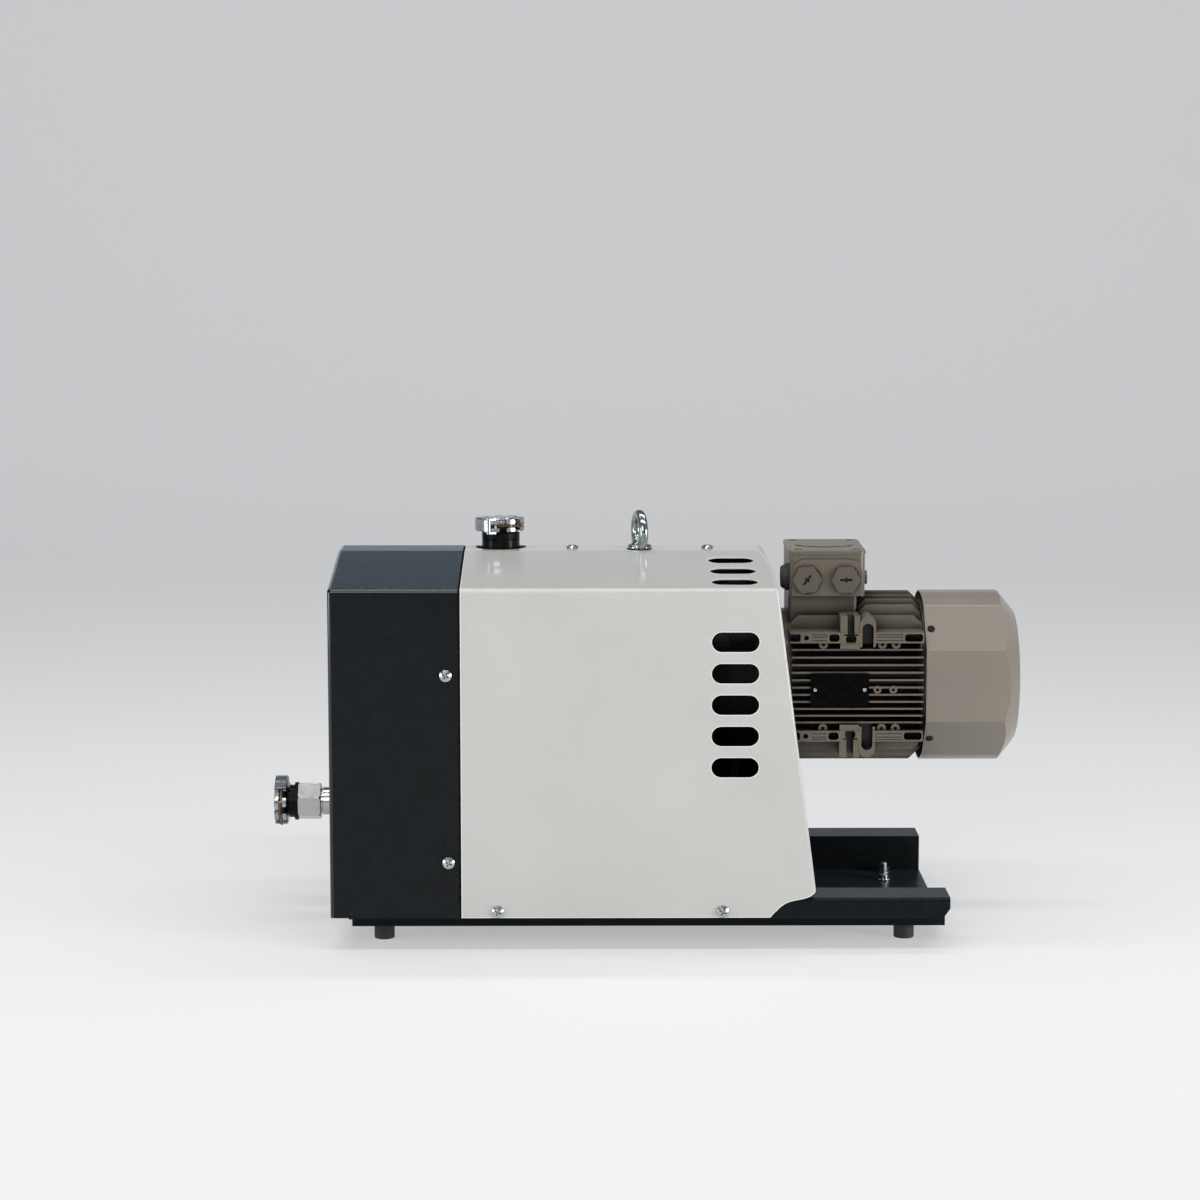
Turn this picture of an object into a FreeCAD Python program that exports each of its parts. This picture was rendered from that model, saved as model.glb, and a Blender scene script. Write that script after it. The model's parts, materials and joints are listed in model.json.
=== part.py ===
import FreeCAD, Part
import math
import os

# Claw vacuum pump in a sheet-metal casing on a folded base tray, driven by a flanged motor.
# Millimetres. +X runs from the exhaust end to the fan cowl, -Y faces the operator, +Z is up.
# The origin is the middle of the bottom of the whole machine.

V = FreeCAD.Vector
X_AXIS = V(1, 0, 0)
Y_AXIS = V(0, 1, 0)
Z_AXIS = V(0, 0, 1)

# Clearances
fit_gap = 0.05
seat_gap = 0.3
rotor_gap = 0.15
tooth_gap = 0.12

# Casing sheet work
sheet = 1.5
casing_width = 352.0
casing_left = -318.5
seam_x = -187.7
seam_gap = 2.4
cover_top_right = 129.8
cover_low_right = 170.0
casing_bottom = 35.3
cover_end_bottom = 62.0
eaves_z = 368.9
ridge_rise = 20.1
ridge_z = eaves_z + ridge_rise
ridge_width = 48.0
long_bend = 4.5
end_bend = 4.0
cover_bend = 3.0
ridge_round = 16.0

# Slots of the cover
slot_length = 47.5
slot_width = 20.0
slot_x = 87.7
slot_pitch = 31.7
top_slot_z = 315.4
front_slot_count = 5
facet_slot_width = 25.0
facet_slot_inward = 28.0
facet_slot_pitch = 42.5
facet_slot_count = 3
vent_low_z = 195.0
vent_length = 90.0
vent_width = 9.0
vent_pitch = 17.0
vent_count = 8

# Casing screws
screw_hole = 2.7
screw_shank = 2.4
screw_head = 6.4
screw_head_height = 3.2
screw_length = 10.0
hood_screw_x = (-201.2, -199.2)
hood_screw_z = (282.0, 92.0)
low_screw_x = (-150.0, 76.2)
low_screw_z = 41.6
ridge_screw_x = (-75.0, 66.0)

# Base tray and feet
tray_sheet = 2.0
tray_left = -300.0
tray_right = 305.5
foot_height = 15.5
rim_z = 54.5
rim_drop = 21.0
rim_depth = 46.0
rim_inset = 2.0
foot_radius = 10.4
foot_left_x = -268.0
foot_right_x = 265.0
foot_from_wall = 16.0
foot_thread = 3.4
foot_thread_depth = 9.0
foot_stud = 4.0
nut_flats = 13.0
nut_height = 6.0
earth_stud_x = 262.0
earth_stud_y = 74.0
earth_stud_length = 19.0
earth_stud_radius = 3.0

# Claw chamber, shafts and timing gears
gear_module = 2.0
gear_teeth = 42
gear_width = 20.0
pressure_angle = math.radians(20.0)
drive_z = 255.0
shaft_spacing = gear_module * gear_teeth
idler_z = drive_z - shaft_spacing
claw_radius = 55.0
claw_lobes = 2
chamber_length = 50.0
chamber_x = -150.0
casting_wall = 14.0
side_plate = 25.0
gear_case_length = 60.0
shaft_radius = 14.0
claw_seat_radius = 16.0
bearing_outer = 26.0
bearing_width = 16.0
seal_outer = 22.0
seal_width = 7.0
cap_length = 13.0
chamber_left = chamber_x - chamber_length / 2
chamber_right = chamber_x + chamber_length / 2
outer_plate_left = chamber_left - side_plate
gear_case_left = chamber_right + side_plate
gear_case_right = gear_case_left + gear_case_length
casting_radius = claw_radius + casting_wall
claw_rest_angle = math.radians(20.0)
gear_x = gear_case_left + 14.0
plug_thread = 6.5
plug_head = 17.0

# Motor, coupling and fans
motor_face_x = 100.5
motor_flange_radius = 100.0
motor_flange_thick = 12.0
bearing_inset = 22.0
rear_bearing_inset = 12.0
winding_gap = 30.0
winding_length = 16.0
frame_left = 130.0
frame_right = 287.0
frame_radius = 88.4
fin_height = 18.4
frame_core = frame_radius - fin_height
stator_radius = frame_core - 8.0
rotor_radius = stator_radius - 22.0
fin_left = 150.0
fin_count = 11
fin_pitch = 7.55
fin_tip = 1.8
fin_root = 4.0
upright_fin_y = (6.0, 17.0, 28.0, 39.0, 54.0)
upright_fin_chamfer = 8.0
pad_offset = 51.0
pad_height = 11.0
pad_reach = frame_radius - 3.9
pad_pocket = 24.0
motor_shaft_radius = 12.0
motor_shaft_reach = 50.0
cowl_left = 288.5
cowl_radius = frame_radius + 0.6
cowl_length = 81.0
cowl_bevel = 17.0
cowl_end_radius = cowl_radius - 21.0
cowl_sheet = 1.5
cowl_boss_radius = 25.0
cowl_boss_height = 3.1
cowl_screw = 2.0
cowl_crease = 24.6
cowl_shoulder = 60.0
grille_pitch = 8.5
grille_slot = 5.0
grille_rings = 4
grille_spokes = 6
hub_radius = 30.0
hub_length = 32.0
spider_thick = 16.0
cooling_fan_radius = 72.0
cooling_fan_width = 26.0
cooling_blades = 9
motor_fan_radius = cowl_radius - 15.0
motor_fan_width = 26.0
motor_blades = 8
bell_radius = 80.0
bell_bore = 65.0
bell_wall = 9.0
coupling_x = motor_face_x - motor_shaft_reach - spider_thick / 2
fan_x = frame_right + 20.0
plate_left = 169.0
plate_right = 228.7
plate_low = drive_z - 19.6
plate_high = drive_z + 14.9
rivet_radius = 1.1

# Terminal box
box_left = 149.0
box_right = 227.0
box_half_depth = 50.0
box_bottom = drive_z + frame_radius + 1.0
box_top = box_bottom + 43.6
lid_top = box_top + 4.3
box_wall = 3.0
neck_half_depth = 38.0
neck_length = 71.0
plug_x = (167.0, 207.0)
plug_turn = (52.0, 0.0)
entry_z = box_bottom + 17.8
plug_flats = 26.4
plug_collar = 15.4
plug_height = 5.0
plug_thread_radius = 8.0
gland_radius = 10.0
lid_screw_inward = 9.0
lid_screw = 2.0
lid_screw_head = 3.8
lid_recess = 2.0
side_gland_y = -28.0

# Small-flange ports with link clamps
port_bore = 12.5
flange_radius = 20.0
flange_rim = 3.0
flange_angle = math.radians(15.0)
flange_neck = 14.6
seal_thick = 4.0
clamp_radius = 24.6
clamp_half_height = 6.6
link_count = 9
link_half_angle = 11.0
link_slot = 2.2
link_pin_circle = 23.1
link_pin_radius = 1.3
wire_thick = 1.0
lug_reach = 7.9
pivot_angle = 244.0
pivot_radius = 27.8
pivot_pin = 1.5
first_link_angle = 257.0
lever_end_angle = 146.0
lever_inner = 25.8
lever_sheet = 1.3
inlet_x = chamber_x
inlet_y = 12.0
inlet_seal_z = ridge_z + 24.0
collar_radius = 19.7
collar_top = ridge_z + 8.6
inlet_base_z = 330.0
inlet_foot_radius = 30.0
inlet_foot_thick = 8.0
inlet_hole_radius = 26.8
exhaust_z = 120.2
hex_flats = 35.0
nipple_reach = 22.0
hex_length = 23.5
flange_reach = 17.7
hex_right = casing_left - nipple_reach
hex_left = hex_right - hex_length
exhaust_seal_x = hex_left - flange_reach
hex_corner_lift = 21.0
nipple_radius = 14.6
nipple_relief = 13.0
silencer_radius = 48.0
silencer_left = casing_left + 8.5
silencer_right = -222.0
elbow_x = (silencer_left + silencer_right) / 2 + 14.0
silencer_boss_z = exhaust_z + silencer_radius + 6.0
elbow_radius = 14.0
elbow_bend = 32.0
elbow_bore = 11.0

# Lifting eye
eye_x = -5.0
eye_y = -8.0
eye_collar = 12.5
eye_height = 45.0
eye_ring_outer = 22.5
eye_ring_inner = 12.5
eye_seat_z = ridge_z - 3.8

half_width = casing_width / 2
tray_wall_y = half_width - rim_inset - rim_depth
tray_rim_y = half_width - rim_inset
tray_floor = foot_height + tray_sheet
foot_y = tray_wall_y - foot_from_wall
cowl_flat = cowl_radius * math.cos(math.radians(cowl_crease))
shoulder_angle = math.radians((cowl_crease + cowl_shoulder) / 2)
shoulder_flat = cowl_radius * math.cos(math.radians((cowl_shoulder - cowl_crease) / 2))
wall_lean = (cover_low_right - cover_top_right) / (eaves_z - cover_end_bottom)
facet_depth = half_width - ridge_width / 2
facet_tilt = math.atan2(ridge_z - eaves_z, facet_depth)


def box(x0, x1, y0, y1, z0, z1):
    """Box between two corners."""
    return Part.makeBox(x1 - x0, y1 - y0, z1 - z0, V(x0, y0, z0))


def rod(radius, start, direction, length):
    """Cylinder from a start point along a direction."""
    return Part.makeCylinder(radius, length, start, direction)


def tube(outer, inner, start, direction, length):
    """Ring or tube from a start point along a direction."""
    return rod(outer, start, direction, length).cut(rod(inner, start, direction, length))


def face_of(points):
    """Flat face with a closed outline through the points."""
    return Part.Face(Part.makePolygon(list(points) + [points[0]]))


def turned(profile, start, direction):
    """Solid turned from (radius, height) pairs about a line through start along direction."""
    blank = face_of([V(r, 0, h) for r, h in profile]).revolve(V(0, 0, 0), Z_AXIS, 360)
    blank.Placement = FreeCAD.Placement(start, FreeCAD.Rotation(Z_AXIS, direction))
    return blank


def hexagon(flats, start, direction, length, spin=0.0):
    """Hexagonal bar from a start point, turned by spin degrees about its own axis."""
    corner = flats / math.sqrt(3.0)
    points = [V(corner * math.cos(math.radians(60 * k + spin)),
                corner * math.sin(math.radians(60 * k + spin)), 0) for k in range(6)]
    bar = face_of(points).extrude(V(0, 0, length))
    bar.Placement = FreeCAD.Placement(start, FreeCAD.Rotation(Z_AXIS, direction))
    return bar


def stadium(length, width, centre, normal, depth):
    """Round-ended slot cutter along X, centred in its depth, with its width across the normal."""
    straight = (length - width) / 2
    body = Part.makeBox(2 * straight, width, depth, V(-straight, -width / 2, -depth / 2))
    for side in (-1, 1):
        body = body.fuse(rod(width / 2, V(side * straight, 0, -depth / 2), Z_AXIS, depth))
    across = normal.cross(X_AXIS)
    body.Placement = FreeCAD.Placement(centre, FreeCAD.Rotation(X_AXIS, across, normal, "ZXY"))
    return body.removeSplitter()


def fused(shapes):
    """One solid from touching shapes."""
    first = shapes[0]
    return first.fuse(shapes[1:]).removeSplitter()


def drilled(shape, cutters):
    """Shape with all the cutters taken away."""
    return shape.cut(cutters)


def around(shape, count, centre, direction, first=0.0):
    """Copies of a shape turned evenly about a line."""
    copies = []
    for k in range(count):
        copy = shape.copy()
        copy.rotate(centre, direction, first + 360.0 * k / count)
        copies.append(copy)
    return copies


def twin_outline(radius, x0, x1):
    """Round-ended block around both shaft axes, as every casting of the pump head has."""
    length = x1 - x0
    upper = rod(radius, V(x0, 0, drive_z), X_AXIS, length)
    lower = rod(radius, V(x0, 0, idler_z), X_AXIS, length)
    middle = box(x0, x1, -radius, radius, idler_z, drive_z)
    return fused([middle, upper, lower])


def shaft_line(x, upper=True):
    """Point on the drive or the idler axis."""
    return V(x, 0, drive_z if upper else idler_z)


# Casing
def casing_block(left, right, inset):
    """Casing envelope between two stations: walls, two facets and the ridge strip, round at the eaves."""
    y = half_width - inset
    ridge_half = ridge_width / 2
    points = [V(left, -y, casing_bottom - inset), V(left, -y, eaves_z - inset),
              V(left, -ridge_half, ridge_z - inset), V(left, ridge_half, ridge_z - inset),
              V(left, y, eaves_z - inset), V(left, y, casing_bottom - inset)]
    block = face_of(points).extrude(V(right - left, 0, 0))
    bends = [edge for edge in block.Edges if abs(edge.Vertexes[0].Z - eaves_z + inset) < 0.01
             and abs(edge.Vertexes[0].X - edge.Vertexes[-1].X) > right - left - 0.01]
    return block.makeFillet(long_bend - inset, bends)


def bent_end(block, on_end, radius):
    """Casing envelope with the bends around one end rounded; on_end tells the points of that end."""
    edges = []
    for edge in block.Edges:
        middle = edge.valueAt((edge.FirstParameter + edge.LastParameter) / 2)
        points = [vertex.Point for vertex in edge.Vertexes] + [middle]
        low = max(point.z for point in points) < casing_bottom + 0.01
        across = abs(points[0].y - points[-2].y) > half_width and abs(points[0].z - points[-2].z) < 0.01
        if not low and not across and all(on_end(point) for point in points):
            edges.append(edge)
    return block.makeFillet(radius, edges)


def acoustic_hood():
    """Dark hood over the exhaust end, folded with round bends at its end wall."""
    right = seam_x - seam_gap / 2
    shells = []
    for inset, overlap in ((0.0, 0.0), (sheet, 1.0)):
        left = casing_left + inset
        block = casing_block(left, right + overlap, inset)
        shells.append(bent_end(block, lambda point: abs(point.x - left) < 0.01, end_bend - inset))
    holes = [rod(nipple_radius + 1.0, V(casing_left - 1, 0, exhaust_z), X_AXIS, 2 * sheet)]
    for side in (-1, 1):
        for k in range(vent_count):
            cutter = stadium(vent_length, vent_width, V(0, 0, 0), Z_AXIS, 4 * sheet)
            cutter.rotate(V(0, 0, 0), Z_AXIS, 90)
            cutter.rotate(V(0, 0, 0), Y_AXIS, 90)
            cutter.translate(V(casing_left, side * 0.33 * casing_width, vent_low_z + k * vent_pitch))
            holes.append(cutter)
    for x, z in hood_screw_places():
        holes += [screw_passage(V(x, side * half_width, z), V(0, side, 0)) for side in (-1, 1)]
    return drilled(shells[0].cut(shells[1]), holes)


def lean_x(z):
    """Station of the cover's leaning end wall at a height."""
    return cover_low_right - wall_lean * (z - cover_end_bottom)


def end_prism(left, inset):
    """Block that ends on the leaning wall and is rounded into the ridge."""
    reach = half_width + 20.0
    low = casing_bottom - 20.0
    top = ridge_z - inset
    points = [V(left, -reach, low), V(lean_x(low) - inset, -reach, low),
              V(lean_x(top) - inset, -reach, top), V(left, -reach, top)]
    prism = face_of(points).extrude(V(0, 2 * reach, 0))
    corner = [edge for edge in prism.Edges if edge.Length > 2 * reach - 0.01
              and edge.Vertexes[0].Z > top - 0.01 and edge.Vertexes[0].X > left + 1.0]
    return prism.makeFillet(ridge_round - inset, corner)


def cover_solid(inset, overlap):
    """Solid envelope of the cover, from the seam to the leaning end with its bends."""
    left = seam_x + seam_gap / 2 - overlap
    block = casing_block(left, cover_low_right + 20, inset).common(end_prism(left, inset))
    start = lean_x(ridge_z - inset) - inset - ridge_round

    def on_end(point):
        on_wall = abs(point.x + inset - lean_x(point.z)) < 0.01
        on_round = point.x > start + 0.01 and point.z > ridge_z - inset - ridge_round
        return on_wall or (on_round and point.z < ridge_z - inset - 0.01)

    return block, on_end


def corner_cut():
    """Cutter for the curved lower right corner of the cover, which clears the tray rim."""
    y = half_width + 5
    low = casing_bottom - 5
    right = cover_low_right + 20
    start = V(cover_low_right - 46, -y, casing_bottom)
    end = V(cover_low_right - 0.1, -y, cover_end_bottom)
    curve = Part.BSplineCurve()
    bend = [(39, -11.5), (30, -4.5), (8, 1.5)]
    curve.interpolate([start] + [V(cover_low_right - back, -y, rim_z + rise) for back, rise in bend] + [end])
    ring = [V(right, -y, cover_end_bottom), V(right, -y, low), V(start.x, -y, low), start]
    lines = [Part.makeLine(a, b) for a, b in zip([end] + ring[:-1], ring)]
    return Part.Face(Part.Wire([curve.toShape()] + lines)).extrude(V(0, 2 * y, 0))


def cover_slots():
    """Cutters for the slots: a column in each side wall and a row in each facet."""
    slots = []
    for side in (-1, 1):
        for k in range(front_slot_count):
            place = V(slot_x, side * half_width, top_slot_z - k * slot_pitch)
            slots.append(stadium(slot_length, slot_width, place, V(0, side, 0), 6 * sheet))
        normal = V(0, side * math.sin(facet_tilt), math.cos(facet_tilt))
        for k in range(facet_slot_count):
            inward = facet_slot_inward + k * facet_slot_pitch
            place = V(slot_x, side * (half_width - inward), eaves_z + inward * math.tan(facet_tilt))
            slots.append(stadium(slot_length, facet_slot_width, place, normal, 8 * sheet))
    return slots


def main_cover():
    """Light cover over the pump head and the coupling, with a leaning end wall round the motor."""
    shells = []
    for inset, overlap in ((0.0, 0.0), (sheet, 1.0)):
        block, on_end = cover_solid(inset, overlap)
        shells.append(bent_end(block, on_end, cover_bend - inset))
    holes = [corner_cut(),
             rod(frame_radius + 6.0, V(cover_low_right - 70, 0, drive_z), X_AXIS, 90),
             box(cover_low_right - 70, cover_low_right + 20, -pad_reach - 4, pad_reach + 4,
                 drive_z - pad_offset - pad_height, drive_z + pad_offset + pad_height),
             rod(inlet_hole_radius, V(inlet_x, inlet_y, ridge_z - 20), Z_AXIS, 40),
             rod(eye_collar + 1.5, V(eye_x, eye_y, ridge_z - 20), Z_AXIS, 40)]
    for x in low_screw_x:
        holes += [screw_passage(V(x, side * half_width, low_screw_z), V(0, side, 0)) for side in (-1, 1)]
    holes += [screw_passage(V(x, 0, ridge_z), Z_AXIS) for x in ridge_screw_x]
    return drilled(shells[0].cut(shells[1]), cover_slots() + holes)


# Screws
def screw_passage(seat, outward):
    """Clearance hole for a casing screw through the sheet under its seat."""
    return rod(screw_hole, seat - outward * 5, outward, 10)


def hood_screw_places():
    """Places (x, z) of the hood screws, the same on the front and the back."""
    return list(zip(hood_screw_x, hood_screw_z))


def pan_screw(head, seat, direction, length, shank=screw_shank):
    """Round-headed screw with its head on the seat and its shank along the direction."""
    high = screw_head_height * head / screw_head
    profile = [(0, -high), (0.55 * head, -high), (0.93 * head, -0.5 * high), (head, 0), (shank, 0),
               (shank, length), (0, length)]
    screw = turned(profile, seat, direction)
    bar = 1.1 * head
    for spin in (0, 90):
        slot = Part.makeBox(bar, 0.22 * head, high, V(-bar / 2, -0.11 * head, -1.4 * high))
        slot.rotate(V(0, 0, 0), Z_AXIS, spin + 25)
        turn = FreeCAD.Placement(seat, FreeCAD.Rotation(Z_AXIS, direction))
        slot.Placement = turn.multiply(slot.Placement)
        screw = screw.cut(slot)
    return screw


def hood_screws():
    """Screws that hold the hood, two on each long side."""
    return [pan_screw(screw_head, V(x, side * half_width, z), V(0, -side, 0), screw_length)
            for x, z in hood_screw_places() for side in (-1, 1)]


def cover_screws():
    """Screws of the cover: two low on each long side and two on the ridge."""
    screws = [pan_screw(screw_head, V(x, side * half_width, low_screw_z), V(0, -side, 0), screw_length)
              for x in low_screw_x for side in (-1, 1)]
    screws += [pan_screw(screw_head, V(x, 0, ridge_z), V(0, 0, -1), screw_length) for x in ridge_screw_x]
    return screws


# Base
def base_tray():
    """Folded tray: floor, two long walls, outward rims and their turned-down lips."""
    t = tray_sheet
    half = [(0, foot_height), (tray_wall_y, foot_height), (tray_wall_y, rim_z - t),
            (tray_rim_y - t, rim_z - t), (tray_rim_y - t, rim_z - rim_drop), (tray_rim_y, rim_z - rim_drop),
            (tray_rim_y, rim_z), (tray_wall_y - t, rim_z), (tray_wall_y - t, tray_floor), (0, tray_floor)]
    profile = face_of([V(tray_left, y, z) for y, z in half]).extrude(V(tray_right - tray_left, 0, 0))
    tray = fused([profile, profile.mirror(V(0, 0, 0), Y_AXIS)])
    bends = [edge for edge in tray.Edges if edge.Length > tray_right - tray_left - 0.01
             and edge.Vertexes[0].Z > rim_z - 0.01 and abs(edge.Vertexes[0].Y) > tray_rim_y - 0.01]
    tray = tray.makeFillet(1.9 * t, bends)
    lip_corner = face_of([V(tray_right + 1, tray_rim_y - 2 * t, rim_z - rim_drop - 1),
                          V(tray_right - 8, tray_rim_y - 2 * t, rim_z - rim_drop - 1),
                          V(tray_right + 1, tray_rim_y - 2 * t, rim_z - 0.45 * rim_drop)])
    lip_corner = lip_corner.extrude(V(0, 4 * t, 0))
    holes = [lip_corner, lip_corner.mirror(V(0, 0, 0), Y_AXIS)]
    for x, y in foot_places():
        holes.append(rod(foot_stud + 0.3, V(x, y, foot_height - 1), Z_AXIS, 2 * t))
    holes.append(rod(earth_stud_radius + 0.2, V(earth_stud_x, earth_stud_y, foot_height - 1), Z_AXIS, 2 * t))
    for x in low_screw_x:
        for side in (-1, 1):
            inner = V(x, side * (tray_rim_y - 2 * t), low_screw_z)
            holes.append(rod(screw_shank + fit_gap, inner, V(0, side, 0), 4 * t))
    return drilled(tray, holes)


def foot_places():
    """Centres of the four rubber feet."""
    return [(x, y) for x in (foot_left_x, foot_right_x) for y in (-foot_y, foot_y)]


def rubber_feet():
    """Round buffers under the tray, each with a blind thread from below and a stud above."""
    feet = []
    edge = 0.8
    stud_top = tray_floor + nut_height + 2.5
    for x, y in foot_places():
        profile = [(foot_thread, 0), (foot_radius - edge, 0), (foot_radius, edge),
                   (foot_radius, foot_height), (foot_stud, foot_height), (foot_stud, stud_top), (0, stud_top),
                   (0, foot_thread_depth), (foot_thread, foot_thread_depth)]
        feet.append(turned(profile, V(x, y, 0), Z_AXIS))
    return feet


def foot_nuts():
    """Nuts with washer faces that hold the feet on the tray floor."""
    nuts = []
    washer = 1.2
    for x, y in foot_places():
        seat = V(x, y, tray_floor)
        nut = fused([rod(nut_flats * 0.62, seat, Z_AXIS, washer),
                     hexagon(nut_flats, seat + V(0, 0, washer), Z_AXIS, nut_height - washer)])
        nuts.append(nut.cut(rod(foot_stud + fit_gap, seat, Z_AXIS, nut_height)))
    return nuts


def earth_stud():
    """Zinc stud on the tray floor with a head below, a washer and a nut, for the earth wire."""
    r = earth_stud_radius
    profile = [(0, -6), (5, -6), (5, -tray_sheet), (r, -tray_sheet), (r, 0), (8, 0), (8, 1.6), (5.6, 1.6),
               (5.6, 6.5), (r, 6.5), (r, earth_stud_length), (0, earth_stud_length)]
    return turned(profile, V(earth_stud_x, earth_stud_y, tray_floor), Z_AXIS)


# Lifting eye
def lifting_eye():
    """Forged eye: collar and neck turned, ring swept round, screwed into the boss of the bell."""
    wire_radius = (eye_ring_outer - eye_ring_inner) / 2
    ring_radius = (eye_ring_outer + eye_ring_inner) / 2
    top = eye_seat_z + eye_height
    ring_z = top - eye_ring_outer
    centre = V(eye_x, eye_y, ring_z)
    ring = Part.makeTorus(ring_radius, wire_radius, centre, V(1, 0.25, 0))
    profile = [(0, -17), (5, -17), (5, 0), (eye_collar, 0), (eye_collar, 5.5), (eye_collar - 1.2, 7),
               (eye_collar - 3.2, 8), (wire_radius + 2.2, 11), (wire_radius + 0.8, 15), (0, 15)]
    stem = turned(profile, V(eye_x, eye_y, eye_seat_z), Z_AXIS)
    return fused([stem, ring])


# Pump head
def claw_cylinder():
    """Claw chamber casting: two crossing bores, a pad for the inlet and cooling ribs around it."""
    body = twin_outline(casting_radius, chamber_left, chamber_right)
    ribs = []
    rib_count = 4
    for k in range(rib_count):
        x = chamber_left + (k + 0.5) * chamber_length / rib_count - 2
        ribs.append(twin_outline(casting_radius + 6, x, x + 4))
    pad = rod(inlet_foot_radius, V(inlet_x, inlet_y, drive_z + 40), Z_AXIS, inlet_base_z - drive_z - 40)
    pad = pad.common(box(chamber_left, chamber_right, -200, 200, drive_z, inlet_base_z))
    solid = fused([body, pad] + ribs)
    bores = [rod(claw_radius, shaft_line(chamber_left, upper), X_AXIS, chamber_length)
             for upper in (True, False)]
    inlet_hole = rod(port_bore, V(inlet_x, inlet_y, drive_z), Z_AXIS, 100)
    trim = box(chamber_left, chamber_right, -200, 200, inlet_base_z, inlet_base_z + 50)
    return drilled(solid, bores + [inlet_hole, trim])


def side_plate_solid(x0, x1, cap_side):
    """Side plate with a bearing seat and a seal seat on each shaft line."""
    plate = twin_outline(casting_radius, x0, x1)
    cuts = []
    for upper in (True, False):
        if cap_side:
            bearing_from = x0
            seal_from = x1 - seal_width
        else:
            bearing_from = x1 - bearing_width
            seal_from = x0
        cuts.append(rod(bearing_outer + fit_gap, shaft_line(bearing_from, upper), X_AXIS, bearing_width))
        cuts.append(rod(seal_outer + fit_gap, shaft_line(seal_from, upper), X_AXIS, seal_width))
        cuts.append(rod(claw_seat_radius + 1, shaft_line(x0, upper), X_AXIS, x1 - x0))
    return plate.cut(cuts)


def outer_side_plate():
    """Side plate at the exhaust end, with closed bearing caps and the outlet port."""
    plate = side_plate_solid(outer_plate_left, chamber_left, True)
    caps = []
    for upper in (True, False):
        cap = [(0, 0), (bearing_outer + 1.5, 0), (bearing_outer + 1.5, 3), (bearing_outer, cap_length),
               (0, cap_length)]
        caps.append(turned(cap, shaft_line(outer_plate_left, upper), V(-1, 0, 0)))
    cap_floor = outer_plate_left - cap_length + 4
    hollow = [rod(bearing_outer - 4, shaft_line(cap_floor, upper), X_AXIS, cap_length)
              for upper in (True, False)]
    outlet = rod(elbow_bore, V(outer_plate_left, 0, (drive_z + idler_z) / 2), X_AXIS, side_plate)
    return drilled(fused([plate] + caps), hollow + [outlet])


def inner_side_plate():
    """Side plate between the chamber and the gear case."""
    return side_plate_solid(chamber_right, gear_case_left, False)


def gear_case():
    """Oil-tight case around the timing gears, with the drive shaft passing through its end wall."""
    wall = 12.0
    body = twin_outline(casting_radius, gear_case_left, gear_case_right)
    pocket = twin_outline(gear_module * (gear_teeth + 2) / 2 + 6, gear_case_left, gear_case_right - wall)
    passage = rod(shaft_radius + 1, shaft_line(gear_case_right - wall), X_AXIS, wall)
    seal_seat = rod(seal_outer + fit_gap, shaft_line(gear_case_right - seal_width), X_AXIS, seal_width)
    plug_holes = [rod(plug_thread, place, direction, 30) for place, direction in oil_plug_places(-15)]
    return drilled(body, [pocket, passage, seal_seat] + plug_holes)


def oil_plug_places(lift=0.0):
    """Seats and directions of the filler and drain plugs, on the front side of the gear case."""
    x = (gear_case_left + gear_case_right) / 2
    front = -casting_radius - lift
    return [(V(x, front, drive_z - 12), V(0, -1, 0)), (V(x, front, idler_z - 2), V(0, -1, 0))]


def oil_plugs():
    """Hexagon plugs that close the oil filler and the drain."""
    plugs = []
    for seat, outward in oil_plug_places():
        collar = rod(plug_head * 0.6, seat, outward, 2)
        head = hexagon(plug_head, seat + outward * 2, outward, 8)
        thread = rod(plug_thread - fit_gap, seat, outward * -1, 10)
        plugs.append(fused([collar, head, thread]))
    return plugs


def bearing_stations():
    """Start of each bearing along X."""
    return [outer_plate_left, gear_case_left - bearing_width]


def pump_bearing_rings():
    """Shielded outer rings of the four ball bearings, with running clearance to the shafts."""
    return [tube(bearing_outer, shaft_radius + 5.0, shaft_line(x, upper), X_AXIS, bearing_width)
            for x in bearing_stations() for upper in (True, False)]


def shaft_seals():
    """Lip seals: two beside the chamber on each shaft, one at the drive end of the gear case."""
    seals = [tube(seal_outer, claw_seat_radius + fit_gap, shaft_line(x, upper), X_AXIS, seal_width)
             for x in (chamber_left - seal_width, chamber_right) for upper in (True, False)]
    seals.append(tube(seal_outer, shaft_radius + fit_gap, shaft_line(gear_case_right - seal_width),
                      X_AXIS, seal_width))
    return seals


def bell_housing():
    """Cone between the gear case and the motor flange, open at the sides, with the eye's boss."""
    x0 = gear_case_right
    length = motor_face_x - x0
    small = bell_radius
    large = motor_flange_radius
    outer = [(small - 8, 0), (small, 0), (small, 10), (small + 6, 22), (large - 5, length - 14),
             (large, length - 14), (large, length), (bell_bore, length), (bell_bore, length - 14),
             (large - 5 - bell_wall, length - 16), (small + 6 - bell_wall, 24), (small - 8, 12)]
    shell = turned(outer, shaft_line(x0), X_AXIS)
    back = tube(small, seal_outer + 3, shaft_line(x0), X_AXIS, 10)
    boss = rod(17, V(eye_x, eye_y, drive_z + small - 6), Z_AXIS, eye_seat_z - drive_z - small + 6)
    boss_hole = rod(5 + fit_gap, V(eye_x, eye_y, eye_seat_z - 22), Z_AXIS, 22)
    body = fused([shell, back, boss])
    windows = []
    for k in range(6):
        window = box(x0 + 30, x0 + length - 30, -22, 22, drive_z + 50, drive_z + 120)
        window.rotate(shaft_line(x0), X_AXIS, 90 + 60 * (k - 2.5))
        windows.append(window)
    return drilled(body, windows + [boss_hole])


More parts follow.
